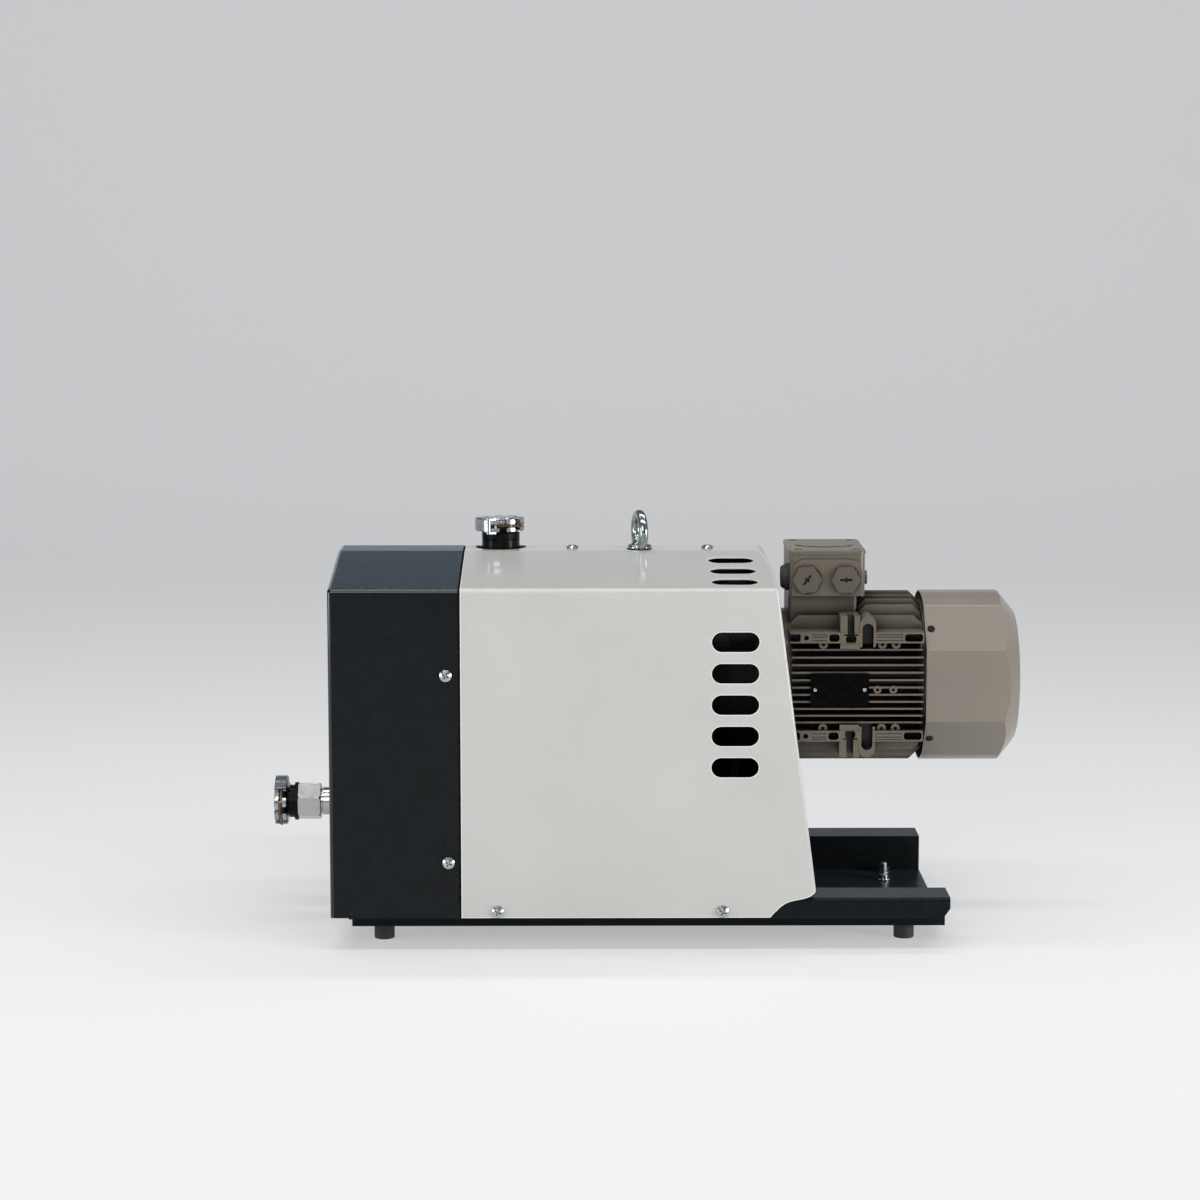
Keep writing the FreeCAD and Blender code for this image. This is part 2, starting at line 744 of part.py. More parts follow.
def support_brackets():
    """Two brackets that carry the pump head and the bell housing on the tray floor."""
    floor = tray_floor
    brackets = []
    width = 75.0
    for x, top, saddle in ((outer_plate_left + 4, idler_z, casting_radius),
                           (motor_face_x - 13, drive_z, motor_flange_radius)):
        foot = box(x, x + 48, -width, width, floor, floor + 6)
        web = box(x, x + 9, -width, width, floor, top - 0.55 * saddle)
        gussets = [box(x, x + 40, y, y + 6, floor, floor + 40) for y in (-width, width - 6)]
        slope = face_of([V(x + 9, -width - 1, floor + 41), V(x + 41, -width - 1, floor + 41),
                         V(x + 41, -width - 1, floor + 6)]).extrude(V(0, 2 * width + 2, 0))
        body = fused([foot, web] + gussets).cut(slope)
        brackets.append(body.cut(rod(saddle, V(x, 0, top), X_AXIS, 60)))
    return brackets


# Claw rotors
def claw_outline(lobes):
    """Outline of a claw rotor for equal, opposite speeds.

    With centre distance a, pitch radius p = a / 2 and tip radius R, each lobe has:
    a tip arc of radius R, a root arc of radius a - R of the same angle,
    a round back made of half an epicycloid and half a hypocycloid of rolling radius (R - p) / 2,
    and a hooked front, the path a exp(-i t) - R exp(-2 i t) of the other rotor's tip.
    """
    a = shaft_spacing
    p = a / 2
    tip = claw_radius
    roll = (tip - p) / 2
    back_angle = math.pi * roll / p
    arc_angle = (2 * math.pi / lobes - 2 * back_angle) / 2
    steps = 12
    hook_end = math.acos(a / (2 * tip))
    outline = []
    for k in range(steps + 1):
        t = hook_end * k / steps
        x = a * math.cos(t) - tip * math.cos(2 * t)
        y = a * math.sin(t) - tip * math.sin(2 * t)
        outline.append((math.hypot(x, y), math.atan2(y, x)))
    for k in range(1, steps):
        outline.append((tip, -arc_angle * k / steps))
    for k in range(steps + 1):
        t = math.pi * (1 - k / steps)
        x = (p + roll) * math.cos(t * roll / p) - roll * math.cos(t + t * roll / p)
        y = (p + roll) * math.sin(t * roll / p) - roll * math.sin(t + t * roll / p)
        spread = back_angle - math.atan2(y, x)
        outline.append((math.hypot(x, y), -arc_angle - spread))
    for k in range(1, steps + 1):
        t = math.pi * k / steps
        x = (p - roll) * math.cos(t * roll / p) + roll * math.cos(t - t * roll / p)
        y = (p - roll) * math.sin(t * roll / p) - roll * math.sin(t - t * roll / p)
        outline.append((math.hypot(x, y), -arc_angle - back_angle - abs(math.atan2(y, x))))
    for k in range(1, steps):
        outline.append((a - tip, -arc_angle - 2 * back_angle - arc_angle * k / steps))
    points = []
    for lobe in range(lobes):
        turn = -2 * math.pi * lobe / lobes
        points += [(r * math.cos(q + turn), r * math.sin(q + turn)) for r, q in outline]
    return points


def inset(points, gap):
    """Clockwise closed outline moved inwards by gap, along the mean normal at each point."""
    moved = []
    count = len(points)
    for k, (x, y) in enumerate(points):
        before = points[k - 1]
        after = points[(k + 1) % count]
        dx, dy = after[0] - before[0], after[1] - before[1]
        size = math.hypot(dx, dy)
        moved.append((x + gap * dy / size, y - gap * dx / size))
    return moved


def claw_rotor(upper):
    """Claw rotor on its seat, shrunk by the rotor gap; both have the same profile, half a turn apart."""
    length = chamber_length - 2 * rotor_gap
    x0 = chamber_left + rotor_gap
    axis_z = drive_z if upper else idler_z
    turn = claw_rest_angle - math.pi / 2 if upper else math.pi / 2 - claw_rest_angle
    points = []
    for u, v in inset(claw_outline(claw_lobes), rotor_gap):
        r = math.hypot(u, v)
        q = math.atan2(v, u) + turn
        points.append(V(x0, r * math.cos(q), axis_z + r * math.sin(q)))
    body = face_of(points).extrude(V(length, 0, 0))
    return body.cut(rod(claw_seat_radius, V(x0, 0, axis_z), X_AXIS, length))


# Timing gears
def gear_blank(upper):
    """Involute spur gear: flank points lie on the involute of the base circle."""
    pitch_r = gear_module * gear_teeth / 2
    base_r = pitch_r * math.cos(pressure_angle)
    tip_r = pitch_r + gear_module
    root_r = pitch_r - 1.25 * gear_module
    half_tooth = math.pi / (2 * gear_teeth) - tooth_gap / pitch_r
    involute = math.tan(pressure_angle) - pressure_angle
    flank = []
    for k in range(4):
        r = base_r + (tip_r - base_r) * k / 3
        roll = math.acos(base_r / r)
        flank.append((r, half_tooth + involute - (math.tan(roll) - roll)))
    flank.insert(0, (root_r, flank[0][1]))
    first = -math.pi / 2 if upper else math.pi / 2 + math.pi / gear_teeth
    x0 = gear_x
    axis_z = drive_z if upper else idler_z
    points = []
    for tooth in range(gear_teeth):
        middle = first + 2 * math.pi * tooth / gear_teeth
        for side, run in ((-1, flank), (1, reversed(flank))):
            for r, q in run:
                turn = middle + side * q
                points.append(V(x0, r * math.cos(turn), axis_z + r * math.sin(turn)))
    body = face_of(points).extrude(V(gear_width, 0, 0))
    recess = tube(pitch_r - 9, 24, V(x0 - 0.1, 0, axis_z), X_AXIS, 4.1)
    far_recess = recess.translated(V(gear_width - 3.9, 0, 0))
    return body.cut([recess, far_recess, rod(shaft_radius, V(x0, 0, axis_z), X_AXIS, gear_width)])


def shaft_solid(left, right, upper):
    """Stepped shaft with the thicker seat under the claw and a shoulder at the gear."""
    start = shaft_line(left, upper)
    journal = rod(shaft_radius, start, X_AXIS, right - left)
    seat = rod(claw_seat_radius, shaft_line(chamber_left - seal_width, upper), X_AXIS,
               chamber_length + 2 * seal_width)
    inner_rings = [tube(shaft_radius + 4.95, shaft_radius - 1, shaft_line(x, upper), X_AXIS, bearing_width)
                   for x in bearing_stations()]
    shoulder = rod(18, shaft_line(gear_x + gear_width, upper), X_AXIS, 6)
    return fused([journal, seat, shoulder] + inner_rings)


def drive_shaft():
    """Upper shaft, from the cap of the outer plate through the gear case into the coupling hub."""
    return shaft_solid(outer_plate_left - 5, coupling_x - spider_thick / 2 - 1, True)


def idler_shaft():
    """Lower shaft, driven only by its gear."""
    return shaft_solid(outer_plate_left - 5, gear_x + gear_width + 10, False)


# Coupling and cooling fan
def coupling_hubs():
    """Two jaw hubs, one on each shaft end, with three jaws each inside the spider."""
    hubs = []
    half = spider_thick / 2
    for side, bore, spin in ((-1, shaft_radius, 0), (1, motor_shaft_radius, 60)):
        face_x = coupling_x + side * half
        x0 = face_x - hub_length if side < 0 else face_x
        body = rod(hub_radius, shaft_line(x0), X_AXIS, hub_length)
        ring_part = tube(hub_radius, 15, shaft_line(coupling_x - half), X_AXIS, spider_thick - 1)
        jaws = []
        for k in range(3):
            sector = ring_part.common(sector_block(coupling_x - half, spider_thick, spin + 120 * k, 36))
            jaws.append(sector)
        if side < 0:
            trim = box(coupling_x + half - 1, coupling_x + half + 20, -60, 60, drive_z - 60, drive_z + 60)
            jaws = [jaw.cut(trim) for jaw in jaws]
        else:
            jaws = [jaw.translated(V(1, 0, 0)) for jaw in jaws]
        hub = fused([body] + jaws)
        hubs.append(hub.cut(rod(bore, shaft_line(x0), X_AXIS, hub_length)))
    return hubs


def sector_block(x0, length, middle, spread):
    """Wedge around the drive axis, spread degrees wide about the middle angle."""
    reach = 120.0
    points = [V(x0, 0, drive_z)]
    for side in (-1, 1):
        q = math.radians(middle + side * spread / 2)
        points.append(V(x0, reach * math.cos(q), drive_z + reach * math.sin(q)))
    return face_of(points).extrude(V(length, 0, 0))


def coupling_spider():
    """Elastic star whose six arms lie between the jaws."""
    half = spider_thick / 2
    core = tube(14.5, 7, shaft_line(coupling_x - half + 0.5), X_AXIS, spider_thick - 1)
    rim = tube(hub_radius - 1, 12, shaft_line(coupling_x - half + 0.5), X_AXIS, spider_thick - 1)
    arms = [rim.common(sector_block(coupling_x - half, spider_thick, 30 + 60 * k, 22)) for k in range(6)]
    return fused([core] + arms)


def cooling_fan():
    """Axial fan on the drive shaft, with twisted blades that blow over the pump head."""
    x0 = gear_case_right + 12
    hub = tube(24, shaft_radius, shaft_line(x0), X_AXIS, cooling_fan_width)
    blades = []
    for k in range(cooling_blades):
        root = Part.makePolygon([V(x0 + 2, -9, 20), V(x0 + 4, -9, 20), V(x0 + 24, 9, 20), V(x0 + 22, 9, 20),
                                 V(x0 + 2, -9, 20)])
        tip = Part.makePolygon([V(x0 + 6, -16, cooling_fan_radius), V(x0 + 8, -16, cooling_fan_radius),
                                V(x0 + 20, 16, cooling_fan_radius), V(x0 + 18, 16, cooling_fan_radius),
                                V(x0 + 6, -16, cooling_fan_radius)])
        blade = Part.makeLoft([root, tip], True, True)
        blade.rotate(V(0, 0, 0), X_AXIS, 360.0 * k / cooling_blades)
        blade.translate(V(0, 0, drive_z))
        blades.append(blade)
    return fused([hub] + blades)


# Motor
def motor_front_shield():
    """Flanged end shield towards the bell housing, with its bearing seat."""
    x1 = frame_left + 8
    length = x1 - motor_face_x
    bore = motor_shaft_radius + 1
    seat = bearing_outer + fit_gap
    seat_end = bearing_inset
    outline = [(bore, 0), (motor_flange_radius, 0), (motor_flange_radius, motor_flange_thick),
               (frame_core + 8, motor_flange_thick), (frame_core + 4, length - 8),
               (frame_core - 6, length - 8), (frame_core - 6, 14), (bearing_outer + 8, 14),
               (bearing_outer + 8, seat_end), (seat, seat_end), (seat, seat_end - bearing_width),
               (bore, seat_end - bearing_width)]
    return turned(outline, shaft_line(motor_face_x), X_AXIS)


def motor_rear_shield():
    """End shield under the fan cowl, with its bearing seat and the threads of the cowl screws."""
    seat = cowl_flat - cowl_sheet - seat_gap
    outline = [(bearing_outer + fit_gap, -rear_bearing_inset), (bearing_outer + 8, -rear_bearing_inset),
               (bearing_outer + 8, 0), (seat, 0), (seat, 12), (seat - 4, 14), (motor_shaft_radius + 1, 14),
               (motor_shaft_radius + 1, bearing_width - rear_bearing_inset),
               (bearing_outer + fit_gap, bearing_width - rear_bearing_inset)]
    disc = turned(outline, shaft_line(frame_right), X_AXIS)
    bosses = [rod(5.5, place + inward * (cowl_sheet + seat_gap), inward, 14)
              for place, inward in cowl_screw_places()]
    threads = [rod(cowl_screw + fit_gap, place, inward, 10) for place, inward in cowl_screw_places()]
    return drilled(fused([disc] + bosses), threads)


def motor_bearing_rings():
    """Outer rings of the motor's two bearings."""
    stations = (motor_face_x + bearing_inset - bearing_width, frame_right - rear_bearing_inset)
    return [tube(bearing_outer, motor_shaft_radius + 5.0, shaft_line(x), X_AXIS, bearing_width)
            for x in stations]


def level_fins():
    """Level fins on the front and the back of the frame, tapering to their tips."""
    fins = []
    for k in range(fin_count):
        offset = (k - (fin_count - 1) / 2) * fin_pitch
        reach = math.sqrt((frame_radius - 1.5) ** 2 - offset ** 2)
        z = drive_z + offset
        half = [V(fin_left, 0, z - fin_root / 2), V(fin_left, -reach, z - fin_tip / 2),
                V(fin_left, -reach, z + fin_tip / 2), V(fin_left, 0, z + fin_root / 2)]
        fin = face_of(half).extrude(V(frame_right - 2 - fin_left, 0, 0))
        fins += [fin, fin.mirror(V(0, 0, 0), Y_AXIS)]
    return fins


def upright_fin(x0, x1, y, level):
    """One upright fin above (level 1) or below (level -1) the core, with chamfered ends."""
    reach = math.sqrt(frame_radius ** 2 - y ** 2)
    cut = upright_fin_chamfer
    root = frame_core / 2
    outline = [(x0, root), (x0, reach - cut), (x0 + cut, reach),
               (x1 - cut, reach), (x1, reach - cut), (x1, root)]
    fin = face_of([V(x, y - fin_tip / 2, drive_z + level * z) for x, z in outline])
    return fin.extrude(V(0, fin_tip, 0))


def upright_fins():
    """Upright fins: full length below, and beside and behind the terminal box's neck on top."""
    fins = []
    right = frame_right - 2
    for y in upright_fin_y:
        for side in (-1, 1):
            fins.append(upright_fin(fin_left, right, side * y, -1))
            start = fin_left if y > neck_half_depth + 2 else box_left + neck_length + 1
            fins.append(upright_fin(start, right, side * y, 1))
    return fins


def slotted(x0, x1, z0, z1, depth, rounded):
    """Pocket with rounded ends in the front of a pad row, as deep as given from the pads' face."""
    pocket = box(x0, x1, -pad_reach - 1, -pad_reach + depth, z0, z1)
    corners = [edge for edge in pocket.Edges if edge.Length > depth + 0.9
               and abs(edge.Vertexes[0].Y - edge.Vertexes[-1].Y) > depth]
    return pocket.makeFillet(rounded, corners)


def pad_row():
    """Front upper row of pads for loose motor feet: a bar with pockets, a bracket and a U-shaped boss.

    Returns the solids to add and the pockets to cut, as (solids, cuts).
    """
    x0 = frame_left
    z = drive_z + pad_offset
    half = pad_height / 2
    root = -frame_core + 25
    bar = box(x0 + 18, frame_right - 2, -pad_reach, root, z - half, z + half)
    bracket = box(x0 + 69.5, x0 + 89.5, -pad_reach + 1, root, z - 11.5, z + 22)
    arch_x = x0 + 97.6
    arch_outer = 8.1
    arch = fused([rod(arch_outer, V(arch_x, -pad_reach + 0.5, z + 14), Y_AXIS, pad_reach + root - 0.5),
                  box(arch_x - arch_outer, arch_x + arch_outer, -pad_reach + 0.5, root, z - 9.5, z + 14)])
    bosses = [rod(4.6, V(x0 + x, -pad_reach + 5, z - 7.4), Y_AXIS, pad_reach + root - 5)
              for x in (52.5, 112.9, 127.1)]
    deep = pad_pocket
    window = half - 1.5
    cuts = [slotted(x0 + 10, x0 + 28.7, z - window, z + window, deep, 2.0),
            slotted(x0 + 57.9, x0 + 68.5, z - window, z + window, deep, 3.0),
            slotted(x0 + 135.4, x0 + 154, z - window, z + window, deep, 3.0),
            rod(2.6, V(x0 + 34.6, -pad_reach - 1, z), Y_AXIS, 16)]
    for left, right in ((41, 56), (106.5, 133.5)):
        for level in (-2.6, 1.0, 3.4):
            groove = box(x0 + left, x0 + right, -pad_reach - 1, -pad_reach + 0.9, z - 0.7, z + 0.7)
            groove.translate(V(0, 0, level))
            cuts.append(groove)
    cuts += [slotted(x0 + 76.5, x0 + 83.8, z - 2, z + 24, deep, 0.5),
             slotted(x0 + 74.9, x0 + 85.8, z - 5.4, z + 2, deep, 2.5),
             slotted(x0 + 72.9, x0 + 87.8, z + 2.0, z + 3.8, 6.0, 0.6),
             slotted(arch_x - 5.8, arch_x + 5.8, z - 12, z + 10, deep, 0.5),
             rod(5.8, V(arch_x, -pad_reach - 1, z + 9), Y_AXIS, deep + 1)]
    cuts += [rod(1.8, V(x0 + x, -pad_reach, z - 7.4), Y_AXIS, 15) for x in (52.5, 112.9, 127.1)]
    return [bar, bracket, arch] + bosses, cuts


def four_ways(shapes):
    """Shapes of the front upper quarter of the motor, mirrored to the lower and the back quarters."""
    upper_and_lower = list(shapes) + [shape.mirror(shaft_line(0), Z_AXIS) for shape in shapes]
    return upper_and_lower + [shape.mirror(V(0, 0, 0), Y_AXIS) for shape in upper_and_lower]


def motor_frame():
    """Cast motor frame with fins, foot pads and the neck of the terminal box."""
    x0 = frame_left
    x1 = frame_right
    core = rod(frame_core, shaft_line(x0), X_AXIS, x1 - x0)
    neck = box(box_left, box_left + neck_length, -neck_half_depth, neck_half_depth, drive_z + 50, box_bottom)
    neck = neck.makeFillet(4.0, [edge for edge in neck.Edges
                                 if abs(edge.Vertexes[0].Z - edge.Vertexes[-1].Z) > 1])
    ends = [tube(frame_core + 3, frame_core - 6, shaft_line(x), X_AXIS, 7) for x in (x0, x1 - 7)]
    rows, pockets = pad_row()
    body = fused([core, neck] + ends + level_fins() + upright_fins() + four_ways(rows))
    ring_places = [V(x0 + x, -frame_radius + 0.8, drive_z - 2.3) for x in (107.6, 123.8)]
    bosses = [rod(3.9, place, Y_AXIS, 22) for place in ring_places]
    bosses += [rod(3.4, place + V(0, 1.1, 0), Y_AXIS, 22) for place in rivet_places()]
    ring_holes = [rod(1.7, place, Y_AXIS, 10) for place in ring_places]
    rivet_holes = [rod(rivet_radius + fit_gap, place, Y_AXIS, 7) for place in rivet_places()]
    bore = rod(stator_radius + fit_gap, shaft_line(x0 - 1), X_AXIS, x1 - x0 + 2)
    spigot = rod(frame_core - 6 + fit_gap, shaft_line(x0 - 1), X_AXIS, 9)
    cable_way = box(box_left + 15, box_left + 55, -20, 20, drive_z + 50, box_bottom)
    return drilled(fused([body] + bosses),
                   [bore, cable_way, spigot] + four_ways(pockets) + ring_holes + rivet_holes)


def stator_core():
    """Stator: laminated ring with the two winding heads."""
    x0 = frame_left + winding_gap
    x1 = frame_right - winding_gap
    profile = [(rotor_radius + 0.5, x0), (stator_radius, x0), (stator_radius, x1), (rotor_radius + 0.5, x1)]
    core = turned(profile, shaft_line(0), X_AXIS)
    heads = [tube(stator_radius - 4, rotor_radius + 4, shaft_line(x), X_AXIS, winding_length)
             for x in (x0 - winding_length, x1)]
    return fused([core] + heads)


def motor_rotor():
    """Motor shaft with the rotor core and the inner rings of both bearings."""
    left = motor_face_x - motor_shaft_reach
    right = fan_x + motor_fan_width + 3
    shaft = rod(motor_shaft_radius, shaft_line(left), X_AXIS, right - left)
    ring_length = 8.0
    core = rod(rotor_radius, shaft_line(frame_left + winding_gap), X_AXIS,
               frame_right - frame_left - 2 * winding_gap)
    end_rings = [rod(rotor_radius - 6, shaft_line(x), X_AXIS, ring_length)
                 for x in (frame_left + winding_gap - ring_length, frame_right - winding_gap)]
    inner = [rod(motor_shaft_radius + 4.95, shaft_line(x), X_AXIS, bearing_width)
             for x in (motor_face_x + bearing_inset - bearing_width, frame_right - rear_bearing_inset)]
    return fused([shaft, core] + end_rings + inner)


def motor_fan():
    """Radial fan under the cowl: a disc with flat blades."""
    hub = tube(22, motor_shaft_radius, shaft_line(fan_x), X_AXIS, motor_fan_width)
    disc = tube(motor_fan_radius - 4, motor_shaft_radius, shaft_line(fan_x), X_AXIS, 3)
    blade = box(fan_x, fan_x + motor_fan_width, -1.2, 1.2, drive_z + 18, drive_z + motor_fan_radius)
    blades = around(blade, motor_blades, shaft_line(fan_x), X_AXIS)
    return fused([hub, disc] + blades)


def cowl_section(radius, x, length):
    """Cowl cross-section: a circle flattened over the sides and the shoulders, as a solid bar."""
    creases = (-cowl_shoulder, -cowl_crease, cowl_crease, cowl_shoulder)
    points = [V(x, -radius * math.cos(math.radians(q)), drive_z + radius * math.sin(math.radians(q)))
              for q in creases]
    far = [V(p.x, -p.y, p.z) for p in points]
    top = Part.Arc(points[3], V(x, 0, drive_z + radius), far[3]).toShape()
    bottom = Part.Arc(far[0], V(x, 0, drive_z - radius), points[0]).toShape()
    front = [Part.makeLine(points[k], points[k + 1]) for k in range(3)]
    back = [Part.makeLine(far[k + 1], far[k]) for k in (2, 1, 0)]
    wire = Part.Wire(front + [top] + back + [bottom])
    return Part.Face(wire).extrude(V(length, 0, 0))


def cowl_block(inset):
    """Solid of the cowl, moved in by inset: the flattened barrel with its bevelled rear."""
    total = cowl_length + cowl_bevel
    start = 1.0 if inset else 0.0
    bar = cowl_section(cowl_radius - inset, cowl_left - start, total - inset + start)
    wide = cowl_radius + 5
    profile = [(0, -2), (wide, -2), (wide, 0), (cowl_radius - inset, cowl_length - inset),
               (cowl_end_radius - inset, total - inset), (0, total - inset)]
    return bar.common(turned(profile, shaft_line(cowl_left), X_AXIS))


def fan_cowl():
    """Sheet cowl with a ring grille at its rear and a raised boss in the middle."""
    shell = cowl_block(0.0).cut(cowl_block(cowl_sheet))
    rear = cowl_left + cowl_length + cowl_bevel
    screw_holes = [rod(2.3, seat, inward, 6) for seat, inward in cowl_screw_places()]
    high = cowl_boss_height
    boss = turned([(0, 0), (cowl_boss_radius, 0), (cowl_boss_radius - 4, high), (0, high)],
                  shaft_line(rear), X_AXIS)
    slots = []
    bars = around(box(rear - 6, rear + 6, -3, 3, drive_z, drive_z + cowl_radius), grille_spokes,
                  shaft_line(rear), X_AXIS, 15)
    for k in range(grille_rings):
        inner = cowl_boss_radius + 4 + k * grille_pitch
        slots.append(tube(inner + grille_slot, inner, shaft_line(rear - 6), X_AXIS, 12).cut(bars))
    return drilled(fused([shell, boss]), slots + screw_holes)


def cowl_screw_places():
    """Seats and inward directions of the cowl screws, one on each sloping flat."""
    places = []
    for side in (-1, 1):
        for level in (-1, 1):
            outward = V(0, side * math.cos(shoulder_angle), level * math.sin(shoulder_angle))
            places.append((V(cowl_left + 6, 0, drive_z) + outward * shoulder_flat, outward * -1))
    return places


def cowl_screws():
    """Screws that hold the cowl to the rear shield."""
    return [pan_screw(4.0, seat, inward, 8, cowl_screw) for seat, inward in cowl_screw_places()]


# Terminal box
def terminal_box():
    """Cast box with raised panels round the cable entries and a side bump."""
    y = box_half_depth
    outer = box(box_left, box_right, -y, y, box_bottom, box_top)
    outer = outer.makeFillet(6.0, [e for e in outer.Edges if abs(e.Vertexes[0].Z - e.Vertexes[-1].Z) > 5])
    inner = box(box_left + box_wall, box_right - box_wall, -y + box_wall, y - box_wall,
                box_bottom + box_wall, box_top)
    panel = box(box_left + 3, box_right - 3, -y - 2.0, -y, box_bottom + 1, box_bottom + 38.5)
    panel = panel.makeFillet(13.0, [e for e in panel.Edges if abs(e.Vertexes[0].Y - e.Vertexes[-1].Y) > 1
                                    and e.Vertexes[0].Z > box_bottom + 30])
    bump = rod(7.0, V(box_right - 1, -y + 16, entry_z), X_AXIS, 4)
    entry = rod(gland_radius, V(box_left - 0.5, side_gland_y, entry_z), X_AXIS, 10)
    pillars = [rod(5.5, V(x, y0, box_bottom + 1), Z_AXIS, box_top - box_bottom - 1)
               for x, y0 in lid_screw_places()]
    holes = [rod(plug_thread_radius, V(x, -y - 5, entry_z), Y_AXIS, 12) for x in plug_x]
    holes += [rod(lid_screw + fit_gap, V(x, y0, box_top - 12), Z_AXIS, 13) for x, y0 in lid_screw_places()]
    cable_way = box(box_left + 15, box_left + 55, -20, 20, box_bottom - 1, box_bottom + box_wall)
    return drilled(fused([outer.cut(inner), panel, bump] + pillars), holes + [entry, cable_way])


def terminal_lid():
    """Flat lid with rounded corners, a raised bare oval and sunk seats for its screws."""
    y = box_half_depth + 0.8
    lid = box(box_left - 0.8, box_right + 0.8, -y, y, box_top, lid_top)
    lid = lid.makeFillet(7.0, [e for e in lid.Edges if abs(e.Vertexes[0].Z - e.Vertexes[-1].Z) > 1])
    top_edges = [e for e in lid.Edges if min(v.Z for v in e.Vertexes) > lid_top - 0.01]
    lid = lid.makeFillet(1.6, top_edges)
    skirt = box(box_left + box_wall + seat_gap, box_right - box_wall - seat_gap, -y + box_wall + 1.2,
                y - box_wall - 1.2, box_top - 2.5, box_top)
    skirt = skirt.cut([rod(6.0, V(x, y0, box_top - 3), Z_AXIS, 3) for x, y0 in lid_screw_places()])
    ellipse = Part.Ellipse(V((box_left + box_right) / 2, 0, lid_top), 30.0, 22.0)
    oval = Part.Face(Part.Wire(ellipse.toShape())).extrude(V(0, 0, 0.8))
    holes = [rod(lid_screw + seat_gap, V(x, y0, box_top - 5), Z_AXIS, 12) for x, y0 in lid_screw_places()]
    holes += [rod(lid_screw_head + 0.5, V(x, y0, lid_top - lid_recess), Z_AXIS, 5)
              for x, y0 in lid_screw_places()]
    return drilled(fused([lid, skirt, oval]), holes)


def lid_screw_places():
    """Corners of the lid screws."""
    return [(x, y) for x in (box_left + lid_screw_inward, box_right - lid_screw_inward)
            for y in (-box_half_depth + lid_screw_inward, box_half_depth - lid_screw_inward)]


def lid_screws():
    """Four sunk screws of the terminal lid."""
    return [pan_screw(lid_screw_head, V(x, y, lid_top - lid_recess), V(0, 0, -1), 9, lid_screw)
            for x, y in lid_screw_places()]


def cable_plugs():
    """Hexagon blanking plugs with a round collar and a deep cross recess, in the two front entries."""
    plugs = []
    face_y = -box_half_depth - 2.0
    collar_height = 1.5
    slot_depth = 4.5
    for x, spin, tilt in zip(plug_x, plug_turn, (5.0, 2.0)):
        seat = V(x, face_y, entry_z)
        collar = rod(plug_collar, seat, V(0, -1, 0), collar_height)
        head = hexagon(plug_flats, seat, V(0, -1, 0), plug_height, tilt)
        thread = rod(plug_thread_radius - fit_gap, seat, Y_AXIS, 9)
        cuts = []
        for length, turn in ((12.5, -spin), (5.5, 90 - spin)):
            slot = box(x - length / 2, x + length / 2, face_y - plug_height - 1,
                       face_y - plug_height + slot_depth, entry_z - 1.2, entry_z + 1.2)
            slot.rotate(seat, Y_AXIS, turn)
            cuts.append(slot)
        plugs.append(drilled(fused([collar, head, thread]), cuts))
    return plugs


def side_gland():
    """Dark gland on the left wall of the terminal box, closed where the supply cable would enter."""
    start = V(box_left, side_gland_y, entry_z)
    collar = rod(14.0, start, V(-1, 0, 0), 3)
    dome = turned([(0, 0), (12.5, 0), (12.5, 2), (10.5, 5), (0, 5)], start + V(-3, 0, 0), V(-1, 0, 0))
    thread = rod(gland_radius - fit_gap, start, X_AXIS, 8)
    return fused([collar, dome, thread])


def rating_plate():
    """Bare black plate on the fin tips of the motor."""
    y = -frame_radius + 1.4
    plate = box(plate_left, plate_right, y - 1.0, y, plate_low, plate_high)
    return plate.cut([rod(rivet_radius + fit_gap, place, Y_AXIS, 3) for place in rivet_places()])


def rivet_places():
    """Rivet heads on the front of the plate."""
    z = (plate_low + plate_high) / 2
    return [V(x, -frame_radius + 0.4, z) for x in (plate_left + 4.5, plate_right - 4.5)]


def plate_rivets():
    """Round-headed rivets through the plate, held in two bosses between the fins."""
    head = [(0, -1.2), (1.5, -1.0), (2.2, 0), (rivet_radius, 0), (rivet_radius, 5), (0, 5)]
    return [turned(head, place, Y_AXIS) for place in rivet_places()]


# Ports
def small_flange(seal_side_height):
    """Profile of a clamped flange seen from the sealing plane: rim, 15 degree back and neck."""
    slope = (flange_radius - flange_neck) * math.tan(flange_angle)
    top = seal_side_height
    return [(flange_radius, top), (flange_radius, top - flange_rim), (flange_neck, top - flange_rim - slope)]


def inlet_port():
    """Inlet pipe: foot flange on the chamber, thick collar through the roof, neck and small flange."""
    top = inlet_seal_z - seal_thick / 2
    flange = small_flange(top)
    foot_top = inlet_base_z + inlet_foot_thick
    outline = [(port_bore, inlet_base_z), (inlet_foot_radius, inlet_base_z), (inlet_foot_radius, foot_top),
               (collar_radius, foot_top), (collar_radius, collar_top), (flange_neck, collar_top)]
    outline += flange[::-1] + [(port_bore, top)]
    return turned(outline, V(inlet_x, inlet_y, 0), Z_AXIS)


def inlet_grommet():
    """Black ring around the neck, between the collar and the clamp."""
    low = collar_top + seat_gap
    height = inlet_seal_z - lug_reach - seat_gap - low
    return tube(collar_radius, flange_neck + seat_gap, V(inlet_x, inlet_y, low), Z_AXIS, height)


def exhaust_nipple():
    """Pipe nipple from the silencer through the hood into the hexagon adaptor, with a thread relief."""
    length = silencer_left - hex_right
    relief = 2.2
    outline = [(elbow_bore, 0), (nipple_radius, 0), (nipple_radius, length - relief),
               (nipple_relief, length - relief), (nipple_relief, length), (elbow_bore, length)]
    return turned(outline, V(silencer_left, 0, exhaust_z), V(-1, 0, 0))


